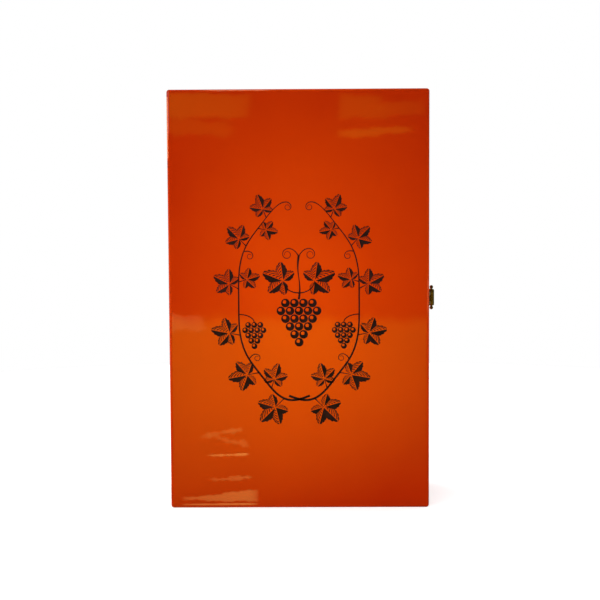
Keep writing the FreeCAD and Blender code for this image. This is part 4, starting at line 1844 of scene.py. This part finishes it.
@dataclass
class Studio:
    """A white table and surround whose reflections are dim in front, soft lamps and the camera.

    Attributes:
        camera_place: in metres.
        camera_yaw: to the left, in radians.
        camera_pitch: upwards, in radians.
        camera_roll: in radians.
        lens_mm: its focal length.
        sensor_mm: the width of its sensor.
        table_radius: in metres.
        ambient: the surround's light on dull surfaces.
        shine: how white the surround and the table are in reflections.
        dim: what is left of that in front.
        table_lift: the light that whitens the table to the eye.
    """

    camera_place: tuple[float, float, float] = (0.02, -1.5, 0.31339)
    camera_yaw: float = 0.01323
    camera_pitch: float = -0.09355
    camera_roll: float = 0.00552
    lens_mm: float = 102.994
    sensor_mm: float = 36.0
    table_radius: float = 0.9
    ambient: float = 0.3
    shine: float = 0.45
    dim: float = 0.02
    table_lift: float = 0.5

    def lamps(self) -> list[SoftBox]:
        """A key and a fill in front, a low glow between them, one lamp on the left, one above, two behind.

        Three more are seen in polished surfaces only: a low sheen on the hasp, and windows that draw pale
        lines along the left edge and the top edge.

        Returns:
            The lamps.
        """
        middle = (0.0, 0.0, 0.18)
        left = (-0.11, -0.05, 0.34)
        top = (-0.06, -0.05, 0.35)
        hasp = (0.113, -0.031, 0.178)
        return [
            SoftBox("key_softbox", (-0.85, -1.25, 0.75), middle, (0.9, 0.9), 5.0),
            SoftBox("fill_softbox", (1.1, -1.0, 0.5), middle, (0.9, 0.9), 2.4, reflected=False),
            SoftBox("hasp_sheen", (1.1, -1.0, 0.05), hasp, (1.2, 0.06), 0.3, "#FFE0A0", lighting=False),
            SoftBox("low_glow", (-0.01, -0.42, 0.2), (-0.01, 0.0, 0.2), (0.15, 0.15), 0.5, reflected=False),
            SoftBox("left_strip", (-0.75, -0.1, 0.2), middle, (0.25, 0.7), 2.8, reflected=False),
            SoftBox("left_window", (-0.75, -0.12, 0.34), left, (0.45, 0.1), 1.8, "#FFCE94", lighting=False),
            SoftBox("top_window", (-0.115, -0.6, 1.2), top, (0.11, 0.3), 1.1, "#FFD3A6", lighting=False),
            SoftBox("overhead_softbox", (0.0, 0.1, 1.5), middle, (0.9, 0.9), 9.0, reflected=False),
            SoftBox("rear_left_softbox", (-0.9, 1.2, 0.7), middle, (0.7, 0.7), 8.0, reflected=False),
            SoftBox("rear_right_softbox", (0.9, 1.2, 0.7), middle, (0.7, 0.7), 8.0, reflected=False),
        ]

    @staticmethod
    def fall(add: Adder, value: Source, start: tuple[float, float], end: tuple[float, float]) -> Node:
        """Adds a smooth step.

        Args:
            add: what adds nodes to the tree.
            value: what it depends on.
            start: where the step starts, and its level there.
            end: where it ends, and its level there.

        Returns:
            The node that gives the step's level.
        """
        ends = {"From Min": start[0], "To Min": start[1], "From Max": end[0], "To Max": end[1]}
        return add("ShaderNodeMapRange", {"interpolation_type": "SMOOTHSTEP", **ends}, {"Value": value})

    @staticmethod
    def mirrored(add: Adder, light: Node) -> Node:
        """One for light that a polished or clear surface shows, by the tree's Light Path node."""
        ways = {0: light.outputs["Is Glossy Ray"], 1: light.outputs["Is Transmission Ray"]}
        return add("ShaderNodeMath", {"operation": "MAXIMUM"}, ways)

    def light_surround(self) -> None:
        """White to the eye; in reflections dimmer in front and on the right; even on dull surfaces."""
        world = bpy.data.worlds.new("studio_surround")
        bpy.context.scene.world = world
        world.use_nodes = True
        world.node_tree.nodes.clear()
        add = partial(add_node, world.node_tree)
        way = add("ShaderNodeTexCoord").outputs["Generated"]
        split = add("ShaderNodeSeparateXYZ", links={"Vector": way})
        aside = add("ShaderNodeMath", {"operation": "MAXIMUM", 1: 0.0}, {0: split.outputs["X"]})
        ahead = add(
            "ShaderNodeMath", {"operation": "MULTIPLY_ADD", 1: -0.25}, {0: aside, 2: split.outputs["Y"]}
        )
        front = self.fall(add, ahead, (-0.75, self.dim), (-0.1, self.shine))
        right = self.fall(add, split.outputs["X"], (0.05, 1.0), (0.6, 0.4))
        above = self.fall(add, split.outputs["Z"], (0.3, 1.0), (0.85, 0.5))
        sides = add("ShaderNodeMath", {"operation": "MULTIPLY"}, {0: front, 1: right})
        reflected = add("ShaderNodeMath", {"operation": "MULTIPLY"}, {0: sides, 1: above})
        light = add("ShaderNodeLightPath")
        unseen = add(
            "ShaderNodeMix", {"A": self.ambient}, {"Factor": self.mirrored(add, light), "B": reflected}
        )
        seen = add("ShaderNodeMix", {"B": 1.0}, {"Factor": light.outputs["Is Camera Ray"], "A": unseen})
        glow = add("ShaderNodeBackground", {"Color": linear("#FFFFFF")}, {"Strength": seen})
        add("ShaderNodeOutputWorld", links={"Surface": glow})

    def lay_table(self) -> None:
        """A white table top that keeps the box's shadow, and whose reflection is dim in front of the box."""
        material, add = new_material("white_table")
        light = add("ShaderNodeLightPath")
        lift = add(
            "ShaderNodeMath",
            {"operation": "MULTIPLY", 1: self.table_lift},
            {0: light.outputs["Is Camera Ray"]},
        )
        matt = add(
            "ShaderNodeBsdfPrincipled",
            {
                "Base Color": linear("#E6E6E6"),
                "Roughness": 0.8,
                "Specular IOR Level": 0.0,
                "Emission Color": linear("#FFFFFF"),
            },
            {"Emission Strength": lift},
        )
        place = add("ShaderNodeTexCoord").outputs["Object"]
        split = add("ShaderNodeSeparateXYZ", links={"Vector": place})
        front = self.fall(add, split.outputs["Y"], (-0.1, self.dim), (0.2, self.shine))
        right = self.fall(add, split.outputs["X"], (0.05, 1.0), (0.5, 0.6))
        sides = add("ShaderNodeMath", {"operation": "MULTIPLY"}, {0: front, 1: right})
        reflection = add("ShaderNodeEmission", {"Color": linear("#FFFFFF")}, {"Strength": sides})
        shown = add("ShaderNodeMixShader", links={"Fac": self.mirrored(add, light), 1: matt, 2: reflection})
        add("ShaderNodeOutputMaterial", links={"Surface": shown})
        turn = np.linspace(0, 2 * math.pi, 96, endpoint=False)
        radius = self.table_radius / MM
        rim = np.stack([radius * np.cos(turn), radius * np.sin(turn), np.zeros_like(turn)], axis=-1)
        table = make_piece("table_top", Surface(rim, [list(range(len(rim)))]), material, closed=False)

    def place_camera(self) -> None:
        """The camera, set square to the box and turned by its yaw, pitch and roll."""
        camera = bpy.data.cameras.new("camera")
        camera.lens = self.lens_mm
        camera.sensor_width = self.sensor_mm
        holder = bpy.data.objects.new("camera", camera)
        turn = Matrix.Rotation(self.camera_yaw, 4, "Z") @ Matrix.Rotation(self.camera_pitch, 4, "X")
        turn = turn @ Matrix.Rotation(self.camera_roll, 4, "Y") @ Matrix.Rotation(math.pi / 2, 4, "X")
        holder.matrix_world = Matrix.Translation(self.camera_place) @ turn
        bpy.context.scene.collection.objects.link(holder)
        bpy.context.scene.camera = holder

    def build(self) -> None:
        """Sets up the whole studio."""
        bpy.context.scene.view_settings.view_transform = "Standard"
        self.light_surround()
        self.lay_table()
        DimRoom(self.camera_place).build()
        for lamp in self.lamps():
            lamp.hang()
        self.place_camera()


def main() -> None:
    """Builds every piece in order and reports each one."""
    logging.basicConfig(level=logging.INFO, format="%(name)s: %(message)s")
    lacquer = LacquerFinish().material()
    velvet = VelvetFinish().material()
    makers = [
        LacquerShell("base", "base_back_panel", lacquer),
        LacquerShell("lid", "lid_front_panel", lacquer),
        VinePrint(InkFinish().material()),
        BottleCradle(velvet),
        VelvetLip(velvet),
        SatinPad(SatinFinish().material()),
    ]
    for maker in makers:
        piece = maker.build()
        LOG.info("%s: %d faces", piece.name, len(piece.data.polygons))
    screws = BrassFinish("turned_brass", bright="#EBDB9E", tarnish="#D2BC7C", roughness=(0.2, 0.35))
    for piece in Hardware(BrassFinish().material(), screws.material()).dress():
        LOG.info("%s: dressed in brass", piece.name)
    Studio().build()


if __name__ == "__main__":
    main()
